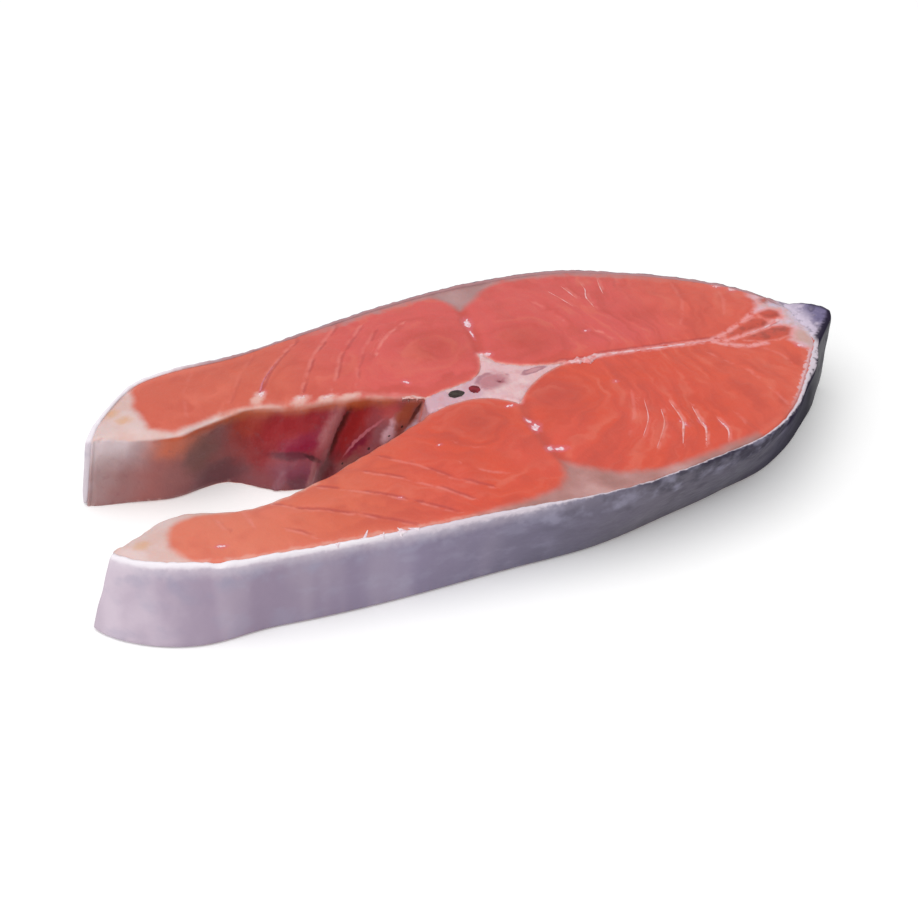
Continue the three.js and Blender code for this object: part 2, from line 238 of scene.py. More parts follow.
FIN_BUNDLES: tuple[Line, ...] = (
    ((76.8, 4.7), (80.1, 5.1), (81.8, 3.5), (81.4, 1.6), (79.4, 1.5), (77.6, 2.4)),
    (
        (64.2, -1.4), (69.8, 1.7), (74.5, 3), (76.4, 2.2),
        (76.8, 0.2), (75, -0.8), (72, -0.8), (65.3, -2.2),
    ),
    (
        (67.9, -4.4), (72.3, -3.2), (77.5, -2.6), (80.2, -3),
        (80.9, -4.9), (79, -7.3), (75.4, -7.8), (71, -6.6),
    ),
    ((80.7, 11.3), (82.6, 12.4), (82.8, 10.1), (80.9, 8.6), (79.9, 9.5)),
)


def line_gap(points: Array, line: Line) -> Array:
    """Measures plan points against an open line.

    Args:
        points: Plan points, one per row.
        line: Points of the line.

    Returns:
        Distance of each point to the line, above 0 on its left and below 0 on its right.
    """
    nearest = np.full(len(points), np.inf)
    for start, end in zip(line[:-1], line[1:]):
        origin = np.array(start, float)
        step = np.array(end, float) - origin
        away = points - origin
        share = np.clip(away @ step / (step @ step), 0, 1)
        reach = np.linalg.norm(away - share[:, None] * step, axis=1)
        left = np.where(step[0] * away[:, 1] - step[1] * away[:, 0] < 0, -1, 1)
        nearest = np.where(reach < np.abs(nearest), left * reach, nearest)
    return nearest


def inside_distance(points: Array, loop: Line) -> Array:
    """Measures plan points against a closed outline.

    Args:
        points: Plan points, one per row.
        loop: Corners of the outline.

    Returns:
        Distance of each point to the outline, above 0 inside and below 0 outside.
    """
    closed = (*loop, loop[0])
    inside = np.zeros(len(points), bool)
    for (x0, y0), (x1, y1) in zip(closed[:-1], closed[1:]):
        spans = (y0 > points[:, 1]) != (y1 > points[:, 1])
        rise = y1 - y0 if y1 != y0 else 1.0
        crossing = x0 + (points[:, 1] - y0) * (x1 - x0) / rise
        inside ^= spans & (points[:, 0] < crossing)
    return np.where(inside, 1, -1) * np.abs(line_gap(points, closed))


def ease(values: Array, low: float, high: float) -> Array:
    """Rises smoothly from 0 at low to 1 at high; low may be above high."""
    share = np.clip((values - low) / (high - low), 0, 1)
    return share * share * (3 - 2 * share)


def hump(distance: Array, width: float) -> Array:
    """A bell of the given half width round distance 0."""
    return np.exp(-((distance / width) ** 2))


def oval_reach(points: Array, centre: Point, half: Point, turn: float) -> Array:
    """Measures flat points against a turned oval.

    Args:
        points: Points, one per row.
        centre: Middle of the oval.
        half: Half sizes along and across.
        turn: Turn of the oval in degrees.

    Returns:
        Distance of each point from the middle, 1 on the border.
    """
    angle = math.radians(turn)
    away = points - np.array(centre)
    along = away @ np.array((math.cos(angle), math.sin(angle))) / half[0]
    across = away @ np.array((-math.sin(angle), math.cos(angle))) / half[1]
    return np.hypot(along, across)


def ripple(places: Array, size: float, seed: float = 0.0) -> Array:
    """Smooth noise of about -1 to 1, with swells of a size in millimetres and a pattern by its seed."""
    scaled = places / size + seed
    return np.array([noise.noise(row) for row in scaled.tolist()])


class ThinPlate:
    """A smooth surface through scattered heights over the plan, as a bent thin plate gives."""

    def __init__(self, points: Array, heights: Array, slack: float) -> None:
        """Fits the plate.

        Args:
            points: Plan points, one per row.
            heights: Height at each point.
            slack: How far the plate may miss the heights to stay smooth.
        """
        self.points = points
        count = len(points)
        corner = np.column_stack((np.ones(count), points))
        system = np.zeros((count + 3, count + 3))
        system[:count, :count] = self.bend(points) + slack * np.eye(count)
        system[:count, count:] = corner
        system[count:, :count] = corner.T
        self.weights = np.linalg.solve(system, np.concatenate((heights, np.zeros(3))))

    def bend(self, places: Array) -> Array:
        """Influence of each fitted point on each place.

        Args:
            places: Plan points, one per row.

        Returns:
            One row for each place and one column for each fitted point.
        """
        gap = places[:, None, :] - self.points[None, :, :]
        square = np.maximum((gap ** 2).sum(axis=2), 1e-9)
        return 0.5 * square * np.log(square)

    def __call__(self, places: Array) -> Array:
        """Reads the plate.

        Args:
            places: Plan points, one per row.

        Returns:
            Height of the plate at each place.
        """
        corner = np.column_stack((np.ones(len(places)), places))
        count = len(self.points)
        return self.bend(places) @ self.weights[:count] + corner @ self.weights[count:]


def flake_plate(half: HalfPlan) -> ThinPlate:
    """Counts flakes all over one half, from its whorls and its drawn lines.

    Args:
        half: Plan of the half.

    Returns:
        The count of flakes as a surface over the plan.
    """
    rings = 2
    ring_points = 8
    slack = 20.0
    places: list[Point] = []
    counts: list[float] = []
    for whorl in half.whorls:
        places.append(whorl.centre)
        counts.append(0.0)
        for ring in range(1, rings + 1):
            for turn in np.linspace(0, math.tau, ring_points, endpoint=False):
                reach = whorl.pitch * ring
                places.append((
                    whorl.centre[0] + reach * math.cos(turn),
                    whorl.centre[1] + reach * math.sin(turn),
                ))
                counts.append(float(ring))
    for flake in half.flakes:
        places.extend(flake.route)
        counts.extend([flake.count] * len(flake.route))
    return ThinPlate(np.array(places), np.array(counts), slack)


@dataclass(frozen=True)
class Cluster:
    """Crumbs of white fat close together, also painted on the flesh as a glint.

    Attributes:
        centre: Plan point in the middle.
        spread: How far the crumbs lie apart along and across.
        turn: Turn of the cluster in degrees.
        count: Number of crumbs.
        size: Length of a crumb.
    """

    centre: Point
    spread: Point
    turn: float
    count: int
    size: float

    def reach(self, points: Array) -> Array:
        """Distance of plan points from its middle, 1 on its border and at most 3."""
        half = (self.spread[0] + 0.5 * self.size, self.spread[1] + 0.5 * self.size)
        return np.minimum(oval_reach(points, self.centre, half, self.turn), 3.0)


# Each cluster is modelled as crumbs and also painted on the flesh as a glint: a painted highlight in a
# pink halo
CLUSTERS = (
    Cluster((2.4, 31.4), (1.8, 0.5), 80, 5, 1.3),
    Cluster((1.6, 26.4), (2.2, 0.1), 85, 2, 0.6),
    Cluster((-0.1, 15.9), (0.5, 0.4), 60, 2, 1.5),
    Cluster((1.5, 15.3), (0.5, 0.4), 20, 2, 1.5),
    Cluster((-0.4, -20.0), (1.2, 0.5), 75, 4, 1.5),
    Cluster((-0.9, -17.0), (0.9, 0.3), 110, 2, 0.9),
    Cluster((-0.9, -30.0), (0.7, 0.4), 40, 2, 1.3),
    Cluster((1.4, -31.0), (1.1, 0.4), -25, 3, 1.2),
    Cluster((-2.5, -9.0), (0.7, 0.2), 10, 2, 1.0),
    Cluster((0.4, -7.6), (0.8, 0.5), 40, 3, 1.2),
    Cluster((26.8, -9.8), (0.3, 0.2), 0, 1, 0.9),
    Cluster((30.2, 15.2), (0.8, 0.1), 0, 2, 0.8),
    Cluster((79.6, -13.2), (0.9, 0.3), -20, 3, 1.0),
    Cluster((38.9, -35.4), (1.3, 0.1), -75, 2, 0.8),
    Cluster((34.6, -33.4), (1.3, 0.1), -75, 2, 0.8),
    Cluster((43.8, -37.4), (1.2, 0.1), -80, 2, 0.7),
    Cluster((-23.2, 11.0), (0.6, 0.2), 130, 2, 0.9),
    Cluster((-26.0, -18.7), (0.5, 0.1), 0, 1, 0.7),
    Cluster((-43.0, -35.2), (0.5, 0.1), 0, 1, 0.7),
    Cluster((-88.5, -36.7), (0.9, 0.2), -10, 2, 0.7),
    Cluster((73.1, 22.2), (1.2, 0.3), -45, 3, 1.0),
    Cluster((76.0, 18.9), (1.0, 0.3), -50, 3, 0.9),
    Cluster((-59.9, 19.9), (0.9, 0.5), 45, 5, 1.1),
    Cluster((-50.6, 15.1), (1.2, 0.3), 8, 3, 0.9),
    Cluster((-44.2, 13.3), (1.2, 0.2), 5, 3, 0.8),
)
# Middle, half sizes and turn of the pale spots where ribs end at the brink of the cavity
RIB_ENDS: tuple[tuple[Point, Point, float], ...] = (
    ((-61.0, 18.8), (3.0, 1.7), 45),
    ((-51.2, 14.6), (2.8, 1.4), 8),
    ((-44.5, 12.8), (3.0, 1.3), 5),
    ((-38.6, 11.6), (3.4, 1.2), 0),
)


def select_only(piece: Piece) -> None:
    """Deselects all, then selects one piece and makes it active.

    Args:
        piece: Object to select.
    """
    bpy.ops.object.select_all(action="DESELECT")
    piece.select_set(True)
    bpy.context.view_layer.objects.active = piece


@contextmanager
def edit_mode(piece: Piece) -> Iterator[None]:
    """Holds a piece in edit mode.

    Args:
        piece: Mesh object to edit.

    Yields:
        Nothing, while the piece is in edit mode.
    """
    select_only(piece)
    bpy.ops.object.mode_set(mode="EDIT")
    yield
    bpy.ops.object.mode_set(mode="OBJECT")


def apply_modifier(piece: Piece, kind: str, **settings: object) -> None:
    """Adds a modifier with its settings and applies it.

    Args:
        piece: Object to change.
        kind: Type of the modifier.
        **settings: Values of the modifier.
    """
    modifier = piece.modifiers.new(kind.lower(), kind)
    for name, value in settings.items():
        setattr(modifier, name, value)
    select_only(piece)
    bpy.ops.object.modifier_apply(modifier=modifier.name)


def subdivide(piece: Piece, levels: int) -> None:
    """Rounds a piece by subdivision and applies it."""
    apply_modifier(piece, "SUBSURF", levels=levels, render_levels=levels)


def crease_sharp(piece: Piece, degrees: float, sharpness: float) -> None:
    """Creases the sharp edges of a piece and leaves them selected.

    Args:
        piece: Mesh object.
        degrees: Angle from which an edge is sharp.
        sharpness: Sharpness that they keep under subdivision.
    """
    bpy.context.tool_settings.mesh_select_mode = (False, True, False)
    with edit_mode(piece):
        bpy.ops.mesh.select_all(action="DESELECT")
        bpy.ops.mesh.edges_select_sharp(sharpness=math.radians(degrees))
        bpy.ops.transform.edge_crease(value=sharpness)


def copy_of(node: str, name: str) -> Piece:
    """Copies a solid as a clean mesh of quads.

    Args:
        node: Name of the solid.
        name: Name of the copy.

    Returns:
        The copy, with its corners merged.
    """
    piece = bpy.data.objects.new(name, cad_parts[node].data.copy())
    piece.data.name = name
    piece.data.materials.clear()
    bpy.context.scene.collection.objects.link(piece)
    with edit_mode(piece):
        bpy.ops.mesh.select_all(action="SELECT")
        bpy.ops.mesh.customdata_custom_splitnormals_clear()
        bpy.ops.mesh.remove_doubles(threshold=0.01 * MM)
        bend = math.radians(60)
        bpy.ops.mesh.tris_convert_to_quads(face_threshold=bend, shape_threshold=bend)
    return piece


def join(pieces: Sequence[Piece], name: str) -> Piece:
    """Joins pieces into one mesh at the origin.

    Args:
        pieces: Mesh objects.
        name: Name of the joined piece.

    Returns:
        The joined piece.
    """
    bpy.ops.object.select_all(action="DESELECT")
    for piece in pieces:
        piece.select_set(True)
    bpy.context.view_layer.objects.active = pieces[0]
    if len(pieces) > 1:
        bpy.ops.object.join()
    bpy.ops.object.transform_apply(location=True, rotation=True, scale=True)
    pieces[0].name = name
    pieces[0].data.name = name
    return pieces[0]


def tree_of(*pieces: Piece) -> BVHTree:
    """Search tree over the faces of some meshes.

    Args:
        *pieces: Mesh objects at the origin.

    Returns:
        The tree, in metres.
    """
    corners: list[Vector] = []
    faces: list[tuple[int, ...]] = []
    for piece in pieces:
        start = len(corners)
        corners.extend(vertex.co for vertex in piece.data.vertices)
        faces.extend(tuple(start + index for index in face.vertices) for face in piece.data.polygons)
    return BVHTree.FromPolygons(corners, faces)


def distances(tree: BVHTree, places: Array) -> Array:
    """Distance in millimetres of places in millimetres to the nearest face of a tree."""
    return np.array([tree.find_nearest(row)[3] for row in (places * MM).tolist()]) / MM


def outward(tree: BVHTree, places: Array) -> Array:
    """Directions in plan from places to the nearest face of a tree.

    Args:
        tree: Search tree, in metres.
        places: Places in millimetres.

    Returns:
        Flat unit vectors, one per row.
    """
    found = np.array([tree.find_nearest(row)[0] for row in (places * MM).tolist()]) / MM
    away = (found - places) * np.array((1, 1, 0))
    return away / np.maximum(np.linalg.norm(away, axis=1), 1e-6)[:, None]


@dataclass
class Surface:
    """Vertices of a piece as arrays.

    Attributes:
        piece: The mesh object.
        place: Places in millimetres.
        normal: Normals.
    """

    piece: Piece
    place: Array
    normal: Array

    @classmethod
    def of(cls, piece: Piece) -> "Surface":
        """Reads the vertices of a piece.

        Args:
            piece: Mesh object to read.

        Returns:
            Its surface.
        """
        count = len(piece.data.vertices)
        place = np.zeros(count * 3)
        normal = np.zeros(count * 3)
        piece.data.vertices.foreach_get("co", place)
        piece.data.vertices.foreach_get("normal", normal)
        return cls(piece, place.reshape(-1, 3) / MM, normal.reshape(-1, 3))

    @property
    def plan(self) -> Array:
        """Plan points, carried up along the slant of the cut to the upper face."""
        lean = LEAN * (1 - self.place[:, 2] / RIM)
        return np.column_stack((self.place[:, 0] + lean, self.place[:, 1])) - SPINE

    @property
    def sideways(self) -> Array:
        """Normals laid flat, of length 0 to 1."""
        return self.normal * np.array((1, 1, 0))

    def move(self, shift: Array) -> None:
        """Moves the vertices.

        Args:
            shift: Move of each vertex in millimetres.
        """
        self.place = self.place + shift
        self.piece.data.vertices.foreach_set("co", (self.place * MM).ravel())
        self.piece.data.update()

    def store(self, name: str, values: Array) -> None:
        """Keeps a number for each vertex as an attribute that the materials read."""
        layer = self.piece.data.attributes.new(name, "FLOAT", "POINT")
        layer.data.foreach_set("value", values.astype(np.float32))


def finish_piece(piece: Piece, material: Material) -> None:
    """Dresses a piece and ties it to the steak.

    Args:
        piece: The finished mesh.
        material: Its finish.
    """
    piece.data.materials.clear()
    piece.data.materials.append(material)
    select_only(piece)
    bpy.ops.object.shade_smooth()
    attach(piece, BODY)


class Board:
    """Shader nodes of one material, laid by short calls that measure in millimetres."""

    def __init__(self, name: str) -> None:
        """Starts a material with one principled shader.

        Args:
            name: Name of the material.
        """
        self.material = bpy.data.materials.new(name)
        self.material.use_nodes = True
        self.nodes = self.material.node_tree.nodes
        self.links = self.material.node_tree.links
        self.nodes.clear()
        self.shader = self.node("BsdfPrincipled", {})
        self.node("OutputMaterial", {"Surface": self.shader.outputs["BSDF"]})
        coordinates = self.node("TexCoord", {}).outputs["Object"]
        self.place = self.vector("SCALE", coordinates, scale=1 / MM)
        self.plan = self.vector("SUBTRACT", self.place, (*SPINE, 0.0))

    def fill(self, node: Node, values: Feeds) -> None:
        """Links inputs of a node to other sockets, or sets their own values.

        Args:
            node: Node to feed.
            values: Socket, number or colour by the name or the place of the input.
        """
        for key, value in values.items():
            socket = node.inputs[key]
            if isinstance(value, Socket):
                self.links.new(value, socket)
            elif socket.type == "RGBA":
                socket.default_value = (*value, 1.0)
            else:
                socket.default_value = value

    def node(self, kind: str, values: Feeds, **settings: str) -> Node:
        """Lays one node.

        Args:
            kind: Type of the node, without its prefix.
            values: What its inputs take.
            **settings: Options of the node.

        Returns:
            The node.
        """
        node = self.nodes.new(f"ShaderNode{kind}")
        for name, value in settings.items():
            setattr(node, name, value)
        self.fill(node, values)
        return node

    def vector(self, kind: str, first: Input, second: Input = (0, 0, 0), scale: float = 1) -> Socket:
        """Vector arithmetic of a kind, which gives a vector, or a number for LENGTH."""
        node = self.node("VectorMath", {0: first, 1: second, 3: scale}, operation=kind)
        return node.outputs[1 if kind == "LENGTH" else 0]

    def math(self, kind: str, first: Input, second: Input = 0.0) -> Socket:
        """Arithmetic of a kind on two numbers."""
        return self.node("Math", {0: first, 1: second}, operation=kind).outputs[0]

    def times(self, first: Input, *others: Input) -> Input:
        """Product of numbers."""
        return reduce(partial(self.math, "MULTIPLY"), others, first)

    def plus(self, first: Input, second: Input, share: float = 1.0) -> Socket:
        """First number and a share of the second."""
        return self.math("ADD", first, second if share == 1.0 else self.math("MULTIPLY", second, share))

    @cache
    def read(self, name: str) -> Socket:
        """Number kept on the vertices of the piece, read by one node for each name."""
        return self.node("Attribute", {}, attribute_name=name).outputs["Fac"]

    def axes(self, vector: Socket) -> tuple[Socket, ...]:
        """The three parts of a vector."""
        return tuple(self.node("SeparateXYZ", {0: vector}).outputs)

    def joined(self, x: Input, y: Input, z: Input) -> Socket:
        """A vector of three parts."""
        return self.node("CombineXYZ", {0: x, 1: y, 2: z}).outputs[0]

    def noise_node(self, size: float, detail: float, at: Socket) -> Node:
        """Noise node of a given size in millimetres at a place in millimetres."""
        return self.node("TexNoise", {"Vector": at, "Scale": 1 / size, "Detail": detail})

    @cache
    def noise(self, size: float, detail: float = 2.0) -> Socket:
        """Noise of 0 to 1, mostly 0.3 to 0.7, with swells of a size in millimetres."""
        return self.noise_node(size, detail, self.place).outputs[0]

    def wander(self, size: float, reach: float, detail: float = 3.0) -> Socket:
        """Number that wanders about 0 by up to a reach."""
        return self.times(self.math("SUBTRACT", self.noise(size, detail), 0.5), 2 * reach)

    def ragged(self, at: Socket, size: float, reach: float) -> Socket:
        """Place shifted at random, so that shapes drawn there get uneven borders.

        Args:
            at: Place in millimetres.
            size: Size of the unevenness.
            reach: Farthest shift.

        Returns:
            The shifted place.
        """
        random_shift = self.noise_node(size, 2.0, self.place).outputs["Color"]
        centred = self.vector("SUBTRACT", random_shift, (0.5, 0.5, 0.5))
        return self.vector("ADD", at, self.vector("SCALE", centred, scale=2 * reach))

    def cells(self, size: float, at: Socket) -> Socket:
        """Distance from the middle of irregular cells of a given size."""
        return self.node("TexVoronoi", {"Vector": at, "Scale": 1 / size}).outputs["Distance"]

    def mapped(self, kind: str, *values: Input) -> Socket:
        """Number carried in a kind of step from one range, low to high, to another."""
        return self.node("MapRange", dict(enumerate(values)), interpolation_type=kind).outputs[0]

    def step(self, value: Socket, low: float, high: float, top: float = 1.0) -> Socket:
        """Rises smoothly from 0 at low to top at high; low may be above high."""
        ranges = (low, high, 0.0, top) if high > low else (high, low, top, 0.0)
        return self.mapped("SMOOTHSTEP", value, *ranges)

    def near(self, value: Socket, centre: float, reach: float, top: float = 1.0) -> Socket:
        """Falls smoothly from top at a number to 0 at a reach on both sides of it."""
        apart = self.math("ABSOLUTE", self.math("SUBTRACT", value, centre))
        return self.step(apart, reach, 0.15 * reach, top)

    def lay(self, under: Input, over: Input, *shares: Input) -> Socket:
        """Lays one colour over another, as much as the product of some shares of 0 to 1."""
        values = {0: self.times(*shares), 6: under, 7: over}
        return self.node("Mix", values, data_type="RGBA").outputs[2]

    def ramp(self, value: Socket, stops: Stops) -> Socket:
        """Colour along a scale.

        Args:
            value: Number on the scale.
            stops: Numbers on the scale with their colours, in rising order.

        Returns:
            The colour.
        """
        low, high = stops[0][0], stops[-1][0]
        node = self.node("ValToRGB", {0: self.mapped("LINEAR", value, low, high, 0.0, 1.0)})
        band = node.color_ramp
        while len(band.elements) < len(stops):
            band.elements.new(0.5)
        for element, (number, colour) in zip(band.elements, stops):
            element.position = (number - low) / (high - low)
            element.color = (*colour, 1.0)
        return node.outputs[0]

    def oval(self, at: Socket, centre: Point, half: Point, turn: float = 0.0) -> Socket:
        """Distance from the middle of an oval, 1 on its border.

        Args:
            at: Place whose first two parts are measured.
            centre: Middle of the oval.
            half: Half sizes along and across.
            turn: Turn of the oval in degrees.

        Returns:
            The distance.
        """
        values = {"Vector": self.vector("SUBTRACT", at, (*centre, 0.0)), "Angle": -math.radians(turn)}
        turned = self.node("VectorRotate", values, rotation_type="Z_AXIS").outputs[0]
        squeezed = self.vector("MULTIPLY", turned, (1 / half[0], 1 / half[1], 0.0))
        return self.vector("LENGTH", squeezed)

    def bump(self, height: Socket, depth: float, under: Optional[Socket] = None) -> Socket:
        """Fine relief of 0 to 1 with a real depth in millimetres, on another relief if there is one."""
        normal = {} if under is None else {"Normal": under}
        return self.node("Bump", {"Height": height, "Distance": depth * MM, **normal}).outputs[0]

    def gloss(self, base: float, film: float, film_roughness: float) -> None:
        """Mirror strength of the surface and of the film of water on it."""
        values = {"Specular IOR Level": base, "Coat Weight": film, "Coat Roughness": film_roughness}
        self.fill(self.shader, values)

    def soften(self, weight: float, depth: float) -> None:
        """Light that enters and spreads in the tissue, red the farthest."""
        spread = {"Subsurface Radius": LIGHT_SPREAD, "Subsurface Scale": depth * MM}
        self.fill(self.shader, {"Subsurface Weight": weight, **spread})

    def dress(self, colour: Socket, roughness: Input, normal: Socket) -> Material:
        """Feeds the shader and hands out the finished material."""
        self.fill(self.shader, {"Base Color": colour, "Roughness": roughness, "Normal": normal})
        return self.material


@dataclass(frozen=True)
class WallPatch:
    """A patch on the lining of the belly cavity.

    Attributes:
        centre: Plan x of its middle, carried up to the upper face, and its height.
        half: Half sizes along and across.
        turn: Turn of its long side in degrees.
        colour: Its colour.
        strength: How much of the lining it covers, from 0 to 1.
        lift: Height of its relief in millimetres.
    """

    centre: Point
    half: Point
    turn: float
    colour: Colour
    strength: float = 0.9
    lift: float = 0.0


WALL_PATCHES = (
    WallPatch((-84, 18.0), (7.5, 5.0), 0, paint(204, 104, 72), 0.85),
    # Painted shade: dark grey-brown where the lining lies in shade
    WallPatch((-76.5, 12.0), (4.5, 6.5), 20, paint(106, 64, 56), 0.7, -0.3),
    # Painted shade: the darkest patch of the lining
    WallPatch((-69.5, 3.5), (6.5, 4.5), 0, paint(88, 42, 50), 0.75, -0.5),
    WallPatch((-64, 16.5), (5.0, 3.2), 5, paint(166, 62, 48), 0.8),
    WallPatch((-53, 14.5), (8.5, 4.2), 8, paint(162, 38, 44), 0.9, -0.5),
    WallPatch((-50, 11.0), (6.5, 2.2), 10, paint(146, 30, 62), 0.9),
    WallPatch((-52, 4.6), (5.8, 3.0), -5, paint(132, 68, 86), 0.85, 0.8),
    WallPatch((-53.2, 8.4), (4.8, 0.9), -3, paint(96, 36, 52), 0.8, -0.3),
    WallPatch((-47.6, 7.3), (2.6, 0.5), -27, paint(72, 24, 32), 0.9, -0.3),
    WallPatch((-51.4, 1.6), (2.4, 2.4), 0, paint(102, 40, 56), 0.85, -0.4),
    WallPatch((-55.6, 2.4), (1.0, 3.2), -22, paint(150, 92, 104), 0.7, 0.6),
    WallPatch((-47.8, 3.2), (0.9, 3.4), -14, paint(164, 106, 108), 0.8, 0.7),
    WallPatch((-43.4, 2.6), (2.4, 4.2), -22, paint(96, 34, 38), 0.85, -0.6),
    WallPatch((-42.7, 13.9), (1.9, 7.4), -26, paint(168, 98, 100), 0.9, 0.9),
    WallPatch((-40.3, 12.4), (0.9, 6.8), -25, paint(88, 28, 24), 0.9, -0.9),
    WallPatch((-36.4, 13.0), (2.6, 7.0), -26, paint(158, 36, 36), 0.9, -0.6),
    WallPatch((-36.4, 18.8), (2.8, 1.9), 0, paint(178, 80, 42), 0.85),
    WallPatch((-35.0, 7.6), (3.4, 1.3), 38, paint(132, 26, 56), 0.9, -0.3),
    WallPatch((-36.6, 3.4), (3.2, 1.8), 20, paint(146, 86, 80), 0.8),
    WallPatch((-28.6, 16.6), (2.6, 2.8), 0, paint(188, 78, 78), 0.8),
    WallPatch((-30.2, 9.8), (1.5, 4.8), -20, paint(148, 86, 92), 0.85, 0.4),
    WallPatch((-34.2, 9.8), (5.2, 0.45), 44, paint(206, 120, 132), 0.8, 0.4),
    WallPatch((-27.2, 11.2), (1.5, 3.8), -18, paint(220, 176, 186), 0.9, 0.8),
    WallPatch((-24.6, 15.6), (1.5, 5.0), -18, paint(166, 80, 52), 0.85),
    WallPatch((-20.6, 13.4), (1.7, 7.0), -22, paint(210, 184, 198), 0.9),
    WallPatch((-21.8, 17.4), (0.45, 4.2), -21, paint(84, 34, 28), 0.9, -0.4),
)
# Plan x and height of the dark specks on the lining
WALL_SPECKS: Line = ((-38.8, 3.6), (-31.9, 6.0), (-31.2, 4.6), (-27.4, 9.8), (-24.7, 12.2))


@dataclass(frozen=True)
class FleshFinish:
    """Wet salmon flesh, with its fat, white tissue and the lining of the belly cavity."""

    orange: Colour = paint(213, 80, 56)
    rose: Colour = paint(211, 90, 88)
    stern: Colour = paint(214, 93, 72)
    flap: Colour = paint(213, 103, 77)
    far_flap: Colour = paint(205, 96, 76)
    flap_end: Colour = paint(217, 118, 94)
    deep: Colour = paint(184, 69, 57)
    # Painted shade in the furrows between flakes and beside the septum
    furrow: Colour = paint(166, 58, 60)
    # Pale lines between flakes and the painted highlight on the edges of furrows; also the pale tissue
    # by the backbone and round the fin bundles
    line: Colour = paint(230, 142, 134)
    blush: Colour = paint(221, 116, 96)
    fat: Colour = paint(178, 128, 124)
    fat_pale: Colour = paint(197, 153, 150)
    fat_grey: Colour = paint(160, 112, 106)
    septum: Colour = paint(231, 154, 153)
    white: Colour = paint(215, 188, 185)
    cream: Colour = paint(208, 166, 156)
    edge: Colour = paint(222, 182, 172)
    spot: Colour = paint(212, 158, 112)
    lavender: Colour = paint(208, 190, 206)
    beige: Colour = paint(198, 156, 144)
    bundle: Colour = paint(196, 80, 64)
    bundle_dark: Colour = paint(166, 70, 58)
    # Pink halo and white painted highlight of the painted glints
    halo: Colour = paint(214, 106, 118)
    glint: Colour = paint(238, 212, 222)
    # Colours of the lining along the cavity, darkened by painted shade, most in the band round -72
    shaded_wall_stops: Stops = (
        (-110, paint(198, 182, 188)),
        (-100, paint(162, 130, 130)),
        (-92, paint(152, 104, 103)),
        (-85, paint(156, 90, 86)),
        (-79, paint(146, 86, 84)),
        (-72, paint(130, 72, 72)),
        (-64, paint(146, 56, 55)),
        (-54, paint(150, 48, 54)),
        (-44, paint(148, 48, 62)),
        (-36, paint(144, 42, 46)),
        (-28, paint(164, 74, 80)),
        (-21, paint(150, 84, 72)),
    )
    wall_top: Colour = paint(188, 98, 64)
    wall_low: Colour = paint(130, 76, 82)
    wall_rim: Colour = paint(214, 196, 200)
    speck: Colour = paint(44, 26, 24)
    fringe: Colour = paint(222, 190, 196)
    far_rim: Colour = paint(168, 134, 136)
    thin: float = 1.2  # half width below which a patch of the lining has a crisp border

    def material(self) -> Material:
        """Builds the material.

        Returns:
            Material that reads the attributes of the flesh.
        """
        board = Board("salmon_flesh")
        face = self.muscle(board)
        face = self.lines(board, face)
        face = self.fatty_edges(board, face)
        face = self.white_tissue(board, face)
        colour = board.lay(face, self.cavity_wall(board), board.read("wall"))
        roughness = board.plus(0.3, board.noise(3, 3), 0.2)
        grain = board.bump(board.noise(0.8, 2), 0.05)
        relief = board.bump(board.noise(3, 3), 0.22, grain)
        board.gloss(0.3, 0.16, 0.14)
        board.soften(0.2, 1.4)
        return board.dress(colour, roughness, relief)

    def muscle(self, board: Board) -> Socket:
        """Muscle with the soft bands of its flakes and whorls.

        Args:
            board: Board of the material.

        Returns:
            Colour of the cut muscle.
        """
        x, _, _ = board.axes(board.plan)
        far_side = board.step(board.read("side"), -4, 8)
        colour = board.lay(self.orange, self.rose, far_side, 0.85)
        colour = board.lay(colour, self.rose, board.step(board.noise(24), 0.42, 0.62, 0.2))
        flap = board.lay(self.flap, self.far_flap, far_side)
        colour = board.lay(colour, flap, board.step(x, -25, -60))
        colour = board.lay(colour, self.stern, board.step(x, 38, 66, 0.8))
        near_end = board.times(board.step(x, -56, -86), board.step(board.read("side"), 4, -4))
        colour = board.lay(colour, self.flap_end, near_end)
        count = board.plus(board.read("flake"), board.wander(7, 0.9, 2))
        slow = board.vector("SCALE", board.place, scale=0.07)
        wide = board.vector("ADD", slow, board.joined(board.times(count, 1.3), 0, 0))
        bands = board.noise_node(1.0, 1.0, wide).outputs[0]
        even = board.step(x, -80, -40)
        colour = board.lay(colour, self.deep, board.step(bands, 0.46, 0.74, 0.4), even)
        colour = board.lay(colour, self.blush, board.step(bands, 0.46, 0.26, 0.45))
        fine = board.vector("ADD", slow, board.joined(board.times(count, 4.0), 0, 0))
        fibres = board.noise_node(1.0, 1.0, fine).outputs[0]
        colour = board.lay(colour, self.blush, board.step(fibres, 0.5, 0.8, 0.16))
        colour = board.lay(colour, self.deep, board.step(board.noise(7, 2), 0.46, 0.74, 0.25))
        wave = board.math("PINGPONG", board.times(count, 1.5), 0.5)
        whorl = board.step(board.read("whorl"), 13, 2, 0.35)
        ring = board.times(board.step(wave, 0.1, 0.5), whorl, board.step(board.noise(5, 3), 0.35, 0.6))
        colour = board.lay(colour, self.deep, ring)
        eye = board.step(board.read("whorl"), 13.0, 1.0, 0.5)
        return board.lay(colour, self.deep, eye)

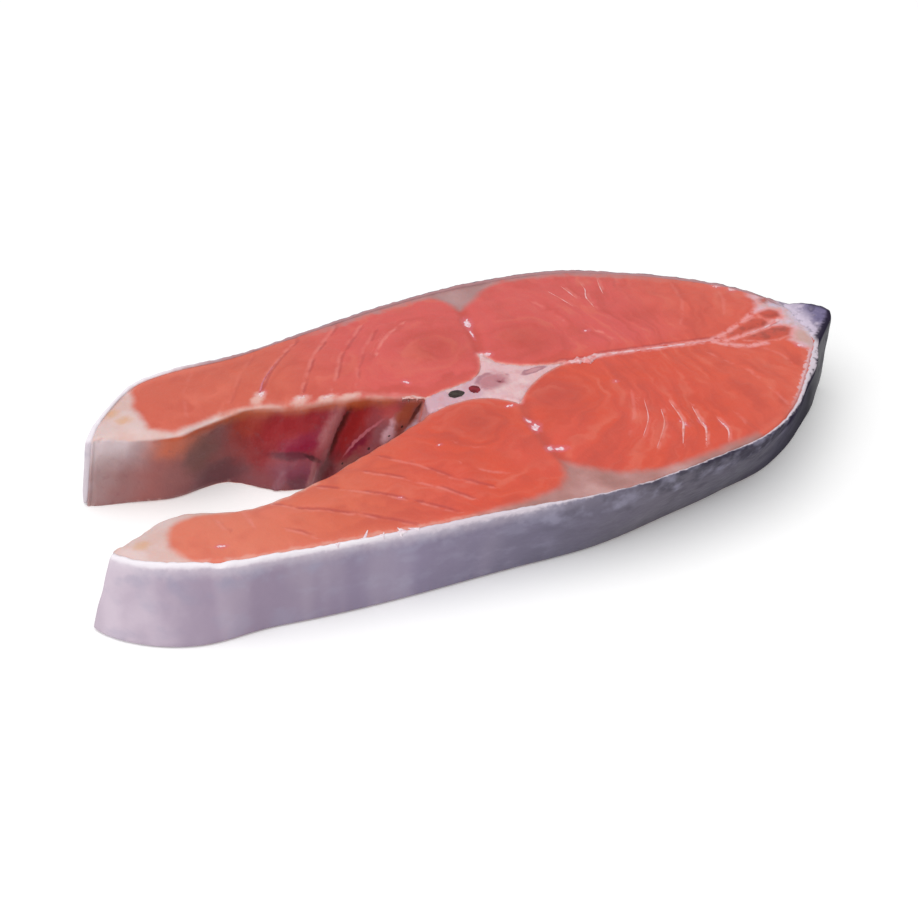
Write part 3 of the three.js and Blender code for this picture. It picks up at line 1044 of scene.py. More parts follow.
    def lines(self, board: Board, colour: Socket) -> Socket:
        """Painted shade in the furrows between the flakes with a painted highlight on their edges, pale
        lines between the flakes, the seams of the halves, a painted shadow beside the septum and painted
        glints.

        Args:
            board: Board of the material.
            colour: Colour of the muscle.

        Returns:
            Colour with the lines laid over it.
        """
        # Painted shade in the furrows
        gap = board.plus(board.read("furrow"), board.wander(2.5, 0.45))
        broken = board.step(board.noise(7, 2), 0.36, 0.52)
        dark = board.times(board.near(gap, -0.4, 0.8, 0.6), board.read("dark"), broken)
        colour = board.lay(colour, self.furrow, dark)
        # Pale lines; along the furrows they are a painted highlight on the lit edge
        patchy = board.step(board.noise(4, 2), 0.36, 0.58)
        pale = board.times(board.near(gap, 0.4, 0.85, 0.75), board.read("pale"), patchy)
        colour = board.lay(colour, self.line, pale)
        lateral = board.plus(board.read("lateral"), board.wander(2.5, 0.7))
        colour = board.lay(colour, self.deep, board.step(lateral, 2.6, 0.4, 0.55))
        # Painted shadow along the far side of the septum
        crease = board.plus(board.read("crease"), board.wander(2.5, 0.5))
        colour = board.lay(colour, self.furrow, board.near(crease, 1.3, 0.9, 0.55), broken)
        septum = board.plus(board.read("septum"), board.wander(2.5, 0.8))
        patchy = board.step(board.noise(1.6, 3), 0.25, 0.55)
        colour = board.lay(colour, self.septum, board.step(septum, 1.6, 0.1, 0.9), patchy)
        # Painted glints at the clusters of crumbs: a pink halo round a white painted highlight
        glint = board.plus(board.read("glint"), board.wander(0.9, 0.7))
        colour = board.lay(colour, self.halo, board.step(glint, 1.9, 0.8, 0.6))
        return board.lay(colour, self.glint, board.step(glint, 0.85, 0.45, 0.9))

    def fatty_edges(self, board: Board, colour: Socket) -> Socket:
        """Fat under the skin, at the lateral line and round the backbone.

        Args:
            board: Board of the material.
            colour: Colour of the muscle.

        Returns:
            Colour with the fat laid over it.
        """
        x, _, _ = board.axes(board.plan)
        wobble = board.wander(3, 1.0)
        rim = board.plus(board.read("rim"), wobble, 1.4)
        belly = board.times(board.step(x, 20, -30), board.step(board.read("side"), 4, -4))
        whole = board.step(board.oval(board.plan, (-91.0, -42.0), (2.2, 2.6)), 0.7, 1.2)
        colour = board.lay(colour, self.blush, board.step(rim, 3.0, 0.2, 0.4))
        colour = board.lay(colour, self.edge, board.step(rim, 1.3, 0.1, 0.35), belly, whole)
        bone = board.plus(board.read("bone"), wobble, 0.6)
        colour = board.lay(colour, self.line, board.step(bone, 1.4, 0.0, 0.55))
        colour = board.lay(colour, self.edge, board.step(bone, 0.7, 0.0, 0.5))
        brink = board.plus(board.read("brink"), wobble, 1.1)
        broken = board.plus(0.35, board.step(board.noise(5, 2), 0.38, 0.58), 0.65)
        broken = board.times(broken, board.plus(0.5, board.step(x, -34, -52), 0.5))
        colour = board.lay(colour, self.edge, board.step(brink, 2.4, 0.1, 0.8), broken)
        uneven = board.ragged(board.plan, 1.8, 1.0)
        for centre, half, turn in RIB_ENDS:
            rib_end = board.oval(uneven, centre, half, turn)
            colour = board.lay(colour, self.edge, board.step(rib_end, 1.4, 0.3, 0.8))
        fat = board.plus(board.read("fat"), wobble, 0.8)
        tones = ((0.3, self.fat_grey), (0.5, self.fat), (0.7, self.fat_pale))
        tone = board.ramp(board.noise(9, 3), tones)
        far_side = board.step(board.read("side"), 2, 6)
        tone = board.lay(tone, self.far_rim, far_side, 0.5)
        far_band = board.times(board.step(x, -48, -22), board.step(x, 74, 36), far_side)
        colour = board.lay(colour, self.far_rim, board.step(rim, 2.4, 0.2, 0.85), far_band)
        stern = board.times(board.step(x, 60, 74), board.step(board.read("side"), -2, -8))
        frayed = board.plus(board.read("rim"), board.wander(1.1, 1.1))
        colour = board.lay(colour, self.fringe, board.step(frayed, 0.9, 0.3, 0.8), stern)
        return board.lay(colour, tone, board.step(fat, -1.8, 1.5))

    def white_tissue(self, board: Board, colour: Socket) -> Socket:
        """White ends of the belly flaps and the web at the root of the fin.

        Args:
            board: Board of the material.
            colour: Colour so far.

        Returns:
            Colour with the white tissue laid over it.
        """
        wobble = board.wander(4, 1.0)
        uneven = board.ragged(board.plan, 3.0, 1.6)
        flap = board.plus(board.read("flap"), wobble)
        pale = board.lay(self.white, self.cream, board.step(board.noise(9, 3), 0.4, 0.62, 0.6))
        for centre in ((-105.4, -28.2), (-97.3, 26.9), (-95.3, 22.7)):
            spot = board.oval(uneven, centre, (2.2, 2.0))
            pale = board.lay(pale, self.spot, board.step(spot, 1.4, 0.2, 0.6))
        colour = board.lay(colour, pale, board.step(flap, -1.4, 1.4))
        torn = board.wander(1.6, 1.0)
        fin = board.plus(board.plus(board.read("fin"), wobble, 0.6), torn, 0.8)
        web = board.lay(self.lavender, self.beige, board.step(board.noise(3, 3), 0.42, 0.64, 0.6))
        beige = board.oval(uneven, (82.2, -9.5), (2.4, 4.4))
        web = board.lay(web, self.beige, board.step(beige, 1.3, 0.5, 0.8))
        web = board.lay(web, self.septum, board.step(fin, 2.6, 0.2, 0.5))
        colour = board.lay(colour, web, board.step(fin, -1.5, 1.1))
        bundle = board.plus(board.plus(board.read("bundle"), wobble, 0.5), torn, 0.5)
        meat = board.lay(self.bundle, self.bundle_dark, board.step(board.noise(2.2, 3), 0.4, 0.66))
        patchy = board.step(board.noise(1.6, 3), 0.35, 0.6)
        colour = board.lay(colour, self.line, board.near(bundle, -0.7, 0.9, 0.5), patchy)
        return board.lay(colour, meat, board.step(bundle, -1.0, 0.8, 0.9))

    def cavity_wall(self, board: Board) -> Socket:
        """Lining of the belly cavity, with painted shade in its colours.

        Args:
            board: Board of the material.

        Returns:
            Colour of the lining.
        """
        _, _, height = board.axes(board.place)
        along = board.read("along")
        wobble = board.wander(6, 1.0)
        slanted = board.plus(board.plus(along, wobble, 5.0), board.math("SUBTRACT", RIM, height), 0.2)
        # Lining colours, with painted shade in them
        colour = board.ramp(slanted, self.shaded_wall_stops)
        inner = board.step(along, -82, -72)
        level = board.plus(height, wobble, 4.0)
        colour = board.lay(colour, self.wall_low, board.step(level, 8, 2, 0.6), inner)
        at = board.joined(along, height, 0.0)
        uneven = board.ragged(at, 3.0, 1.6)
        crisp = board.ragged(at, 1.6, 0.5)
        for patch in WALL_PATCHES:
            thin = min(patch.half) < self.thin
            reach = board.oval(crisp if thin else uneven, patch.centre, patch.half, patch.turn)
            cover = board.step(reach, 1.5, 0.6 if thin else 0.4, patch.strength)
            colour = board.lay(colour, patch.colour, cover)
        for speck in WALL_SPECKS:
            reach = board.oval(crisp, speck, (0.4, 0.4))
            colour = board.lay(colour, self.speck, board.step(reach, 1.2, 0.6, 0.9))
        top = board.step(board.plus(height, wobble, 2.0), 17, 20.2, 0.85)
        top = board.times(top, inner, board.step(along, -25, -30))
        colour = board.lay(colour, self.wall_top, top)
        colour = board.lay(colour, self.wall_low, board.step(board.noise(1.8, 3), 0.55, 0.75, 0.3))
        outer = board.times(board.step(along, -86, -100), board.step(level, 9, 20, 0.9))
        colour = board.lay(colour, self.wall_rim, outer)
        return board.lay(colour, self.edge, board.step(board.plus(height, wobble, 0.5), 19.6, 21, 0.8))


@dataclass(frozen=True)
class SkinFinish:
    """Wet fish skin, white at the belly and slate grey at the back."""

    stops: Stops = (
        (-114, paint(198, 182, 196)),
        (-100, paint(168, 151, 170)),
        (-88, paint(152, 135, 156)),
        (-72, paint(140, 125, 147)),
        (-45, paint(135, 124, 149)),
        (-12, paint(106, 100, 121)),
        (18, paint(92, 85, 100)),
        (60, paint(84, 81, 94)),
        (86, paint(70, 69, 74)),
        (98, paint(58, 57, 62)),
    )
    # Dark of the skin's blotches and marks; also the painted shade in the crease at the fin stub
    dark: Colour = paint(46, 40, 58)
    # Painted sheen: streaks and pale patches laid on the skin
    sheen: Colour = paint(152, 148, 170)
    # Pale cut edge of the skin; also laid as painted light in the vertical bands over the belly and in
    # the pale band under its upper edge
    rim: Colour = paint(218, 206, 216)
    web: Colour = paint(208, 194, 212)
    slate: Colour = paint(118, 110, 142)
    tip: Colour = paint(74, 66, 88)
    far: Colour = paint(104, 96, 108)
    far_edge: Colour = paint(180, 134, 136)
    # Lighter grey of the side of the fin stub: painted light
    fin: Colour = paint(128, 127, 130)
    # Painted shade in the vertical bands over the belly skin
    shade: Colour = paint(124, 112, 132)
    pale_end: Colour = paint(216, 206, 212)
    # Painted highlight on the very edge of the belly flaps
    bright: Colour = paint(240, 234, 240)
    flesh: Colour = paint(206, 96, 74)

    def material(self) -> Material:
        """Builds the material.

        Returns:
            Material that reads the attributes of the skin.
        """
        board = Board("salmon_skin")
        x, y, height = board.axes(board.plan)
        colour = board.ramp(board.plus(x, board.wander(9, 9)), self.stops)
        back = board.step(x, -25, 25)
        # Painted sheen in streaks, mostly on the belly
        tall = board.vector("MULTIPLY", board.place, (0.13, 0.13, 0.22))
        streaks = board.noise_node(1.0, 3.0, tall).outputs[0]
        front = board.plus(0.1, board.step(x, 20, -30), 0.9)
        colour = board.lay(colour, self.sheen, board.step(streaks, 0.48, 0.7, 0.35), front)
        # Painted light and shade in soft vertical bands over the belly skin
        upright = board.vector("MULTIPLY", board.place, (0.12, 0.12, 0.015))
        lit_and_shaded_bands = board.noise_node(1.0, 1.0, upright).outputs[0]
        belly = board.step(x, 0, -50)
        colour = board.lay(colour, self.shade, board.step(lit_and_shaded_bands, 0.42, 0.7, 0.18), belly)
        colour = board.lay(colour, self.rim, board.step(lit_and_shaded_bands, 0.54, 0.28, 0.14), belly)
        far_end = board.times(board.step(y, 0, 8), board.step(x, -88, -100, 0.8))
        colour = board.lay(colour, self.pale_end, far_end)
        flat = board.vector("MULTIPLY", board.place, (0.6, 0.6, 1.0))
        blotches = board.noise_node(4.0, 4.0, flat).outputs[0]
        level = board.plus(height, board.wander(5, 3))
        upper = board.step(level, 6, 13)
        colour = board.lay(colour, self.dark, board.step(blotches, 0.48, 0.66, 0.6), back, upper)
        high = board.step(level, 13.5, 17.5)
        marks = board.noise_node(5.0, 2.0, flat).outputs[0]
        edge_marks = board.times(board.step(marks, 0.4, 0.56), high, board.step(x, 10, 36, 0.85))
        colour = board.lay(colour, self.dark, edge_marks)
        # Painted highlights: pale patches just under the upper edge
        glow = board.times(board.step(board.noise(5, 3), 0.42, 0.72, 0.6), high, board.step(x, 78, 50))
        colour = board.lay(colour, self.sheen, glow)
        low = board.times(board.step(height, 9, 0, 0.3), back)
        colour = board.lay(colour, self.dark, low)
        stern = board.times(board.step(x, 56, 72), board.step(y, 4, -4))
        under_lip = board.times(board.step(board.plus(height, board.wander(3, 2)), 14, 18, 0.85), stern)
        colour = board.lay(colour, self.dark, under_lip)
        # Painted light: the side of the fin stub laid a lighter grey, with dark worn spots on it
        fin_x = board.plus(x, board.wander(5, 4))
        below = board.step(height, 20.2, 18.2)
        lit_fin_side = board.times(board.step(fin_x, 79, 90), below, board.step(y, 6, -4))
        colour = board.lay(colour, self.fin, lit_fin_side, 0.85)
        worn = board.times(board.step(board.noise(5, 4), 0.46, 0.66, 0.45), lit_fin_side)
        colour = board.lay(colour, self.dark, worn)
        hidden = board.times(board.step(y, 4, 12), board.step(x, -85, -60))
        colour = board.lay(colour, self.far, hidden, 0.8)
        colour = self.lip(board, colour, stern, hidden)
        colour = self.fin_top(board, colour)
        scales = board.cells(2.4, board.vector("MULTIPLY", board.place, (1.0, 1.0, 1.5)))
        relief = board.bump(scales, 0.04)
        relief = board.bump(board.noise(1.6, 3), 0.14, relief)
        roughness = board.plus(0.3, board.noise(4, 3), 0.28)
        sheen = board.times(board.step(x, 62, 10, 0.3), board.step(y, 12, 2))
        board.fill(board.shader, {"Specular IOR Level": sheen})
        return board.dress(colour, roughness, relief)

    def lip(self, board: Board, colour: Socket, stern: Socket, hidden: Socket) -> Socket:
        """Cut upper edge of the skin, with painted highlights along it.

        Args:
            board: Board of the material.
            colour: Colour of the skin.
            stern: 1 on the near side next to the fin and 0 elsewhere.
            hidden: 1 on the far side of the back and 0 elsewhere.

        Returns:
            Colour with the cut edge laid over it.
        """
        x, _, _ = board.axes(board.plan)
        belly = board.step(x, 12, -45)
        width = board.plus(board.plus(0.0, belly, 1.5), stern, 0.55)
        torn = board.plus(board.read("depth"), board.wander(1.4, 0.5))
        torn = board.plus(torn, board.times(stern, board.wander(1.8, 0.7)))
        across = board.math("SUBTRACT", torn, width)
        down = board.plus(board.read("lip"), board.wander(1.6, 1.0))
        seen = board.math("SUBTRACT", 1.0, board.times(hidden, 0.8))
        rim = board.times(board.step(across, 0.85, 0.35, 0.9), board.step(down, 2.0, 0.3), seen)
        # Pale band under the edge on the belly: the pale skin there and a painted highlight on its upper
        # part
        soft = board.times(board.step(down, 5.0, 0.2, 0.55), belly, seen)
        colour = board.lay(colour, self.rim, soft)
        colour = board.lay(colour, self.rim, rim)
        # Painted highlight along the very edge of the belly flaps
        level = board.plus(board.read("lip"), board.wander(3, 0.4))
        white = board.times(board.step(level, 1.5, 0.3, 0.8), board.step(x, -40, -60), seen)
        colour = board.lay(colour, self.bright, white)
        top = board.step(down, 1.5, 0.5)
        colour = board.lay(colour, self.far_edge, board.step(torn, 1.0, 0.5, 0.9), hidden, top)
        teeth = board.times(board.step(torn, 0.4, 0.05, 0.9), stern, top)
        return board.lay(colour, self.flesh, teeth)

    def fin_top(self, board: Board, colour: Socket) -> Socket:
        """Cut top of the fin stub, with painted shade in the crease at its near edge.

        Args:
            board: Board of the material.
            colour: Colour of the skin.

        Returns:
            Colour with the top of the stub laid over it.
        """
        x, _, _ = board.axes(board.ragged(board.plan, 3.0, 2.6))
        top = board.lay(self.web, self.slate, board.step(x, 85.5, 92.0))
        pale = board.times(board.step(board.noise(2.2, 4), 0.48, 0.66, 0.75), board.step(x, 93.0, 88.0))
        top = board.lay(top, self.web, pale)
        top = board.lay(top, self.tip, board.step(board.noise(3.6, 4), 0.5, 0.62, 0.5))
        top = board.lay(top, self.tip, board.step(x, 93.0, 96.5, 0.8))
        # Painted shade in the crease along the near edge of the stub
        crease = board.plus(board.read("crease"), board.wander(1.4, 0.9))
        top = board.lay(top, self.dark, board.step(crease, 2.0, 0.6, 0.95))
        return board.lay(colour, top, board.read("fin_top"))


@dataclass(frozen=True)
class BoneFinish:
    """Section of backbone: pinkish white bone and cartilage."""

    bone: Colour = paint(220, 178, 182)
    neck: Colour = paint(204, 164, 176)
    pink: Colour = paint(209, 142, 147)
    disc: Colour = paint(176, 104, 114)
    grey: Colour = paint(158, 102, 116)
    core: Colour = paint(150, 82, 96)
    white: Colour = paint(224, 196, 196)

    def material(self) -> Material:
        """Builds the material.

        Returns:
            Material drawn from ovals over the section.
        """
        board = Board("salmon_backbone")
        x, _, _ = board.axes(board.plan)
        _, _, height = board.axes(board.place)
        at = board.ragged(board.plan, 2.4, 0.9)
        colour = board.lay(self.bone, self.neck, board.step(x, -3, -9))
        colour = board.lay(colour, self.pink, board.step(board.noise(2.6, 3), 0.5, 0.7, 0.5))
        colour = board.lay(colour, self.white, board.step(board.noise(4, 3), 0.52, 0.66, 0.6))
        disc = board.oval(at, (-2.2, 3.0), (4.6, 3.8), 6)
        colour = board.lay(colour, self.disc, board.step(disc, 1.25, 0.55, 0.8))
        ring = board.times(board.near(disc, 0.92, 0.24, 0.7), board.step(board.noise(4, 3), 0.56, 0.42))
        colour = board.lay(colour, self.grey, ring)
        core = board.oval(at, (-0.3, 2.7), (1.4, 1.2))
        colour = board.lay(colour, self.core, board.step(core, 1.3, 0.3, 0.9))
        arch = board.oval(at, (9.6, 3.6), (3.2, 1.1), 8)
        colour = board.lay(colour, self.disc, board.step(arch, 1.3, 0.7, 0.6))
        colour = board.lay(colour, self.grey, board.near(arch, 0.95, 0.4, 0.7))
        colour = board.lay(colour, self.pink, board.step(height, 20.4, 19.0, 0.8))
        relief = board.bump(board.noise(0.9, 3), 0.1)
        roughness = board.plus(0.28, board.noise(2, 3), 0.25)
        board.gloss(0.35, 0.2, 0.15)
        board.soften(0.2, 1.0)
        return board.dress(colour, roughness, relief)


@dataclass(frozen=True)
class TissueFinish:
    """Thin tissue, fat or clotted blood, mottled in two colours.

    Attributes:
        name: Name of the material.
        base: First colour.
        other: Second colour.
        patch: Size of the patches in millimetres.
        film: Strength of the film of water on it.
    """

    name: str
    base: Colour
    other: Colour
    patch: float = 2.0
    film: float = 0.25

    def material(self) -> Material:
        """Builds the material.

        Returns:
            Material that wanders between the two colours.
        """
        board = Board(self.name)
        colour = board.lay(self.base, self.other, board.step(board.noise(self.patch, 3), 0.4, 0.62))
        roughness = board.plus(0.22, board.noise(1.2), 0.2)
        board.gloss(1.6 * self.film, self.film, 0.1)
        return board.dress(colour, roughness, board.bump(board.noise(0.6), 0.05))


WHITE_FAT = TissueFinish("white_fat", paint(230, 178, 186), paint(238, 214, 222), 1.0)
STREAK_FAT = TissueFinish("streak_fat", paint(232, 178, 180), paint(224, 132, 120), 2.5)
SEPTUM_TISSUE = TissueFinish("septum_tissue", paint(228, 182, 186), paint(220, 134, 132), 2.0)
VEIN_WALL = TissueFinish("vein_wall", paint(208, 116, 130), paint(196, 82, 84), 3.0)
RIM_TISSUE = TissueFinish("rim_tissue", paint(226, 182, 178), paint(216, 142, 130), 1.2)
SHRED_SKIN = TissueFinish("shred_skin", paint(240, 226, 232), paint(226, 200, 212), 1.0)
GREY_CLOT = TissueFinish("grey_clot", paint(66, 60, 54), paint(50, 36, 36), 1.5, 0.08)
RED_CLOT = TissueFinish("red_clot", paint(140, 40, 52), paint(108, 26, 36), 1.5, 0.08)


@dataclass
class Flesh:
    """Both halves of muscle round the open belly cavity.

    Attributes:
        node: Solid that it stands for.
        sharp: Angle in degrees from which an edge counts as sharp.
        soft_crease: Sharpness of the edges at the cavity.
        firm_crease: Sharpness added to the edges at the skin and the backbone.
        seam: Distance within which an edge is at the skin or the backbone.
        overlap: How far it grows into the skin, to close the gap.
        furrow_depth: Depth of the furrows between flakes.
        swell: Height of the wide waves of the cut face.
        grain: Height of its finer waves.
        bundle_rise: Height of the muscle bundles in the web at the fin.
        fat_dip: Depth of the hollows at the lateral fat.
        seam_dip: Depth of the seams to the lateral line.
        wall_swell: Height of the waves of the lining.
        brink_lumps: Height of the lumps along the brink of the cavity.
        edge_reach: How far the flesh reaches over the far edge of the skin.
        web_reach: How far its web reaches over the fin stub.
        web_dip: How far the web slopes down onto the stub.
    """

    node: str = "flesh"
    sharp: float = 50.0
    soft_crease: float = 0.36
    firm_crease: float = 0.5
    seam: float = 2.0
    overlap: float = 0.45
    furrow_depth: float = 0.2
    swell: float = 0.1
    grain: float = 0.08
    bundle_rise: float = 0.3
    fat_dip: float = 0.3
    seam_dip: float = 0.25
    wall_swell: float = 0.5
    brink_lumps: float = 0.35
    edge_reach: float = 1.1
    web_reach: float = 2.2
    web_dip: float = 0.55

    def build(self) -> Piece:
        """Models the flesh from its solid.

        Returns:
            The flesh with its relief and the attributes that its finish reads.
        """
        piece = copy_of(self.node, "flesh_muscle")
        self.crease(piece)
        subdivide(piece, 2)
        self.shape(Surface.of(piece))
        return piece

    def crease(self, piece: Piece) -> None:
        """Keeps the edges at the skin and the backbone firm and those at the cavity soft.

        Args:
            piece: Copy of the solid.
        """
        crease_sharp(piece, self.sharp, self.soft_crease)
        neighbours = tree_of(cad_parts["skin"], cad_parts["backbone"])
        for edge in piece.data.edges:
            ends = [piece.data.vertices[index].co for index in edge.vertices]
            gap = neighbours.find_nearest((ends[0] + ends[1]) / 2)[3]
            edge.select = edge.select and gap < self.seam * MM
        with edit_mode(piece):
            bpy.ops.transform.edge_crease(value=self.firm_crease)

    def shape(self, surface: Surface) -> None:
        """Moves the vertices for the relief and keeps what the finish reads.

        Args:
            surface: Surface of the flesh.
        """
        skin = tree_of(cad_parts["skin"])
        backbone = tree_of(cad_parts["backbone"])
        rim = np.maximum(distances(skin, surface.place) - GAP, 0)
        bone = np.maximum(distances(backbone, surface.place) - GAP, 0)
        along = surface.plan[:, 0]
        level = surface.place[:, 2]
        up = surface.normal[:, 2]
        fields = self.fields(surface.plan)
        steep = ease(np.abs(up), 0.8, 0.45)
        wall = steep * ease(rim, 1.0, 2.5) * ease(bone, 0.4, 1.4)
        outer = np.where(fields["side"] > 0, ease(along, -86, -92), ease(along, -94, -99))
        flap_end = steep * outer * ease(level, 20.4, 19.4)
        brink = self.brink(surface, wall)
        lining = np.maximum(wall, flap_end)
        fields.update(rim=rim, bone=bone, wall=lining, along=along, brink=brink)
        shift = surface.sideways * (wall * self.wall_relief(surface))[:, None]
        shift[:, 2] += ease(up, 0.55, 0.9) * self.top_relief(surface, fields)
        lumps = self.brink_lumps * ripple(surface.place, 3.0, 9.1)
        lumps *= ease(brink, 2.5, 0.5) * ease(level, 4, 9)
        shift += surface.normal * lumps[:, None]
        grown = self.overlap * ease(rim, 0.8, 0.1) * ease(np.abs(up), 0.95, 0.6)
        shift += surface.sideways * grown[:, None]
        far_back = ease(fields["side"], 4, 10) * ease(along, -70, -50)
        edge = ease(level, RIM - 1.6, RIM - 0.7) * ease(rim, 1.6, 0.2)
        over = edge * np.maximum(ease(fields["fin"], -0.5, 1.0), far_back)
        reach = self.edge_reach + (self.web_reach - self.edge_reach) * ease(along, 83, 86)
        shift += (over * reach)[:, None] * outward(skin, surface.place)
        shift[:, 2] -= self.web_dip * over * ease(along, 80, 84)
        surface.move(shift)
        for name, values in fields.items():
            surface.store(name, values)

    def top_relief(self, surface: Surface, fields: dict[str, Array]) -> Array:
        """Relief of the cut face.

        Args:
            surface: Surface of the flesh.
            fields: What the plan measures at each vertex.

        Returns:
            Height at each vertex.
        """
        drawn = np.maximum(fields["dark"], fields["pale"])
        height = -self.furrow_depth * hump(fields["furrow"], 0.9) * drawn
        height += self.swell * ripple(surface.place, 11.0)
        height += self.grain * ripple(surface.place, 4.5, 7.3)
        height += self.bundle_rise * ease(fields["bundle"], -0.8, 1.0)
        height -= self.fat_dip * ease(fields["fat"], -0.5, 1.5)
        return height - self.seam_dip * hump(fields["lateral"], 1.4)

    def wall_relief(self, surface: Surface) -> Array:
        """Relief of the lining of the cavity.

        Args:
            surface: Surface of the flesh.

        Returns:
            Height at each vertex.
        """
        places = np.column_stack((surface.plan[:, 0], surface.place[:, 2]))
        height = self.wall_swell * ripple(surface.place, 7.0, 3.1)
        for patch in WALL_PATCHES:
            reach = oval_reach(places, patch.centre, patch.half, patch.turn)
            height += patch.lift * ease(reach, 1.35, 0.4)
        return height

    def brink(self, surface: Surface, wall: Array) -> Array:
        """Distance of each vertex to the lining of the cavity, as far as it is near.

        Args:
            surface: Surface of the flesh.
            wall: 1 on the lining and 0 elsewhere.

        Returns:
            Distance in millimetres, at most 6.
        """
        farthest = 6.0
        blocks = 60
        lining = surface.place[wall > 0.5]
        result = np.full(len(wall), farthest)
        for block in np.array_split(np.arange(len(wall)), blocks):
            low = surface.place[block].min(axis=0) - farthest
            high = surface.place[block].max(axis=0) + farthest
            close = lining[((lining > low) & (lining < high)).all(axis=1)]
            if len(close):
                gaps = np.linalg.norm(surface.place[block][:, None] - close[None], axis=2)
                result[block] = np.minimum(gaps.min(axis=1), farthest)
        return result

    def fields(self, plan: Array) -> dict[str, Array]:
        """Measures the plan of the cut face at each vertex.

        Args:
            plan: Plan points.

        Returns:
            Numbers by the name of their attribute.
        """
        farthest = 3.0
        middle = np.interp(plan[:, 0], [x for x, _ in MIDLINE], [y for _, y in MIDLINE])
        side = plan[:, 1] - middle
        flake = np.zeros(len(plan))
        furrow = np.full(len(plan), farthest)
        dark = np.zeros(len(plan))
        pale = np.zeros(len(plan))
        for half in HALVES:
            own = side * half.side >= 0
            flake[own] = flake_plate(half)(plan[own])
            for line in half.flakes:
                gap = self.outward_gap(plan, half, line)
                furrow = np.where(np.abs(gap) < np.abs(furrow), gap, furrow)
                # dark weighs the painted shade in furrows; pale weighs the pale lines, which on furrows
                # are a painted highlight
                bell = line.weight * hump(gap, 1.4)
                dark = np.maximum(dark, bell * (line.mark is FURROW))
                pale = np.maximum(pale, bell * (0.6 if line.mark is FURROW else 0.9))
        centres = np.array([whorl.centre for half in HALVES for whorl in half.whorls])
        seams = (SEPTUM, *FORKS)
        return {
            "side": side,
            "flake": flake,
            "furrow": furrow,
            "dark": dark,
            "pale": pale,
            "whorl": np.linalg.norm(plan[:, None, :] - centres[None], axis=2).min(axis=1),
            "lateral": np.minimum(*[np.abs(line_gap(plan, half.lateral)) for half in HALVES]),
            "septum": np.min([np.abs(line_gap(plan, seam)) for seam in seams], axis=0),
            # Signed distance to the septum, read for the painted shadow beside it
            "crease": line_gap(plan, SEPTUM),
            # Distance to the clusters, read for the painted glints
            "glint": np.min([cluster.reach(plan) for cluster in CLUSTERS], axis=0),
            "fat": np.maximum(*[inside_distance(plan, half.fat) for half in HALVES]),
            "flap": np.maximum(*[inside_distance(plan, half.flap) for half in HALVES]),
            "fin": inside_distance(plan, FIN_WEB),
            "bundle": np.max([inside_distance(plan, loop) for loop in FIN_BUNDLES], axis=0),
        }

    def outward_gap(self, plan: Array, half: HalfPlan, line: FlakeLine) -> Array:
        """Distance of plan points to a line, above 0 on the side away from its whorl.

        Args:
            plan: Plan points.
            half: Half that the line belongs to.
            line: The line.

        Returns:
            The signed distances.
        """
        centres = np.array([whorl.centre for whorl in half.whorls])
        to_whorl = line_gap(centres, line.route)
        inner = to_whorl[np.argmin(np.abs(to_whorl))]
        return -np.sign(inner) * line_gap(plan, line.route)

    def dress(self, piece: Piece) -> None:
        """Gives the flesh its finish and lets it stand for its solid."""
        finish_piece(piece, FleshFinish().material())
        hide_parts(self.node)


@dataclass(frozen=True)
class Mound:
    """A soft lump round a plan point.

    Attributes:
        centre: Plan point in the middle.
        height: Height in the middle.
        width: Half width.
    """

    centre: Point
    height: float
    width: float

    def over(self, plan: Array) -> Array:
        """Height over each plan point."""
        return self.height * hump(np.linalg.norm(plan - np.array(self.centre), axis=1), self.width)


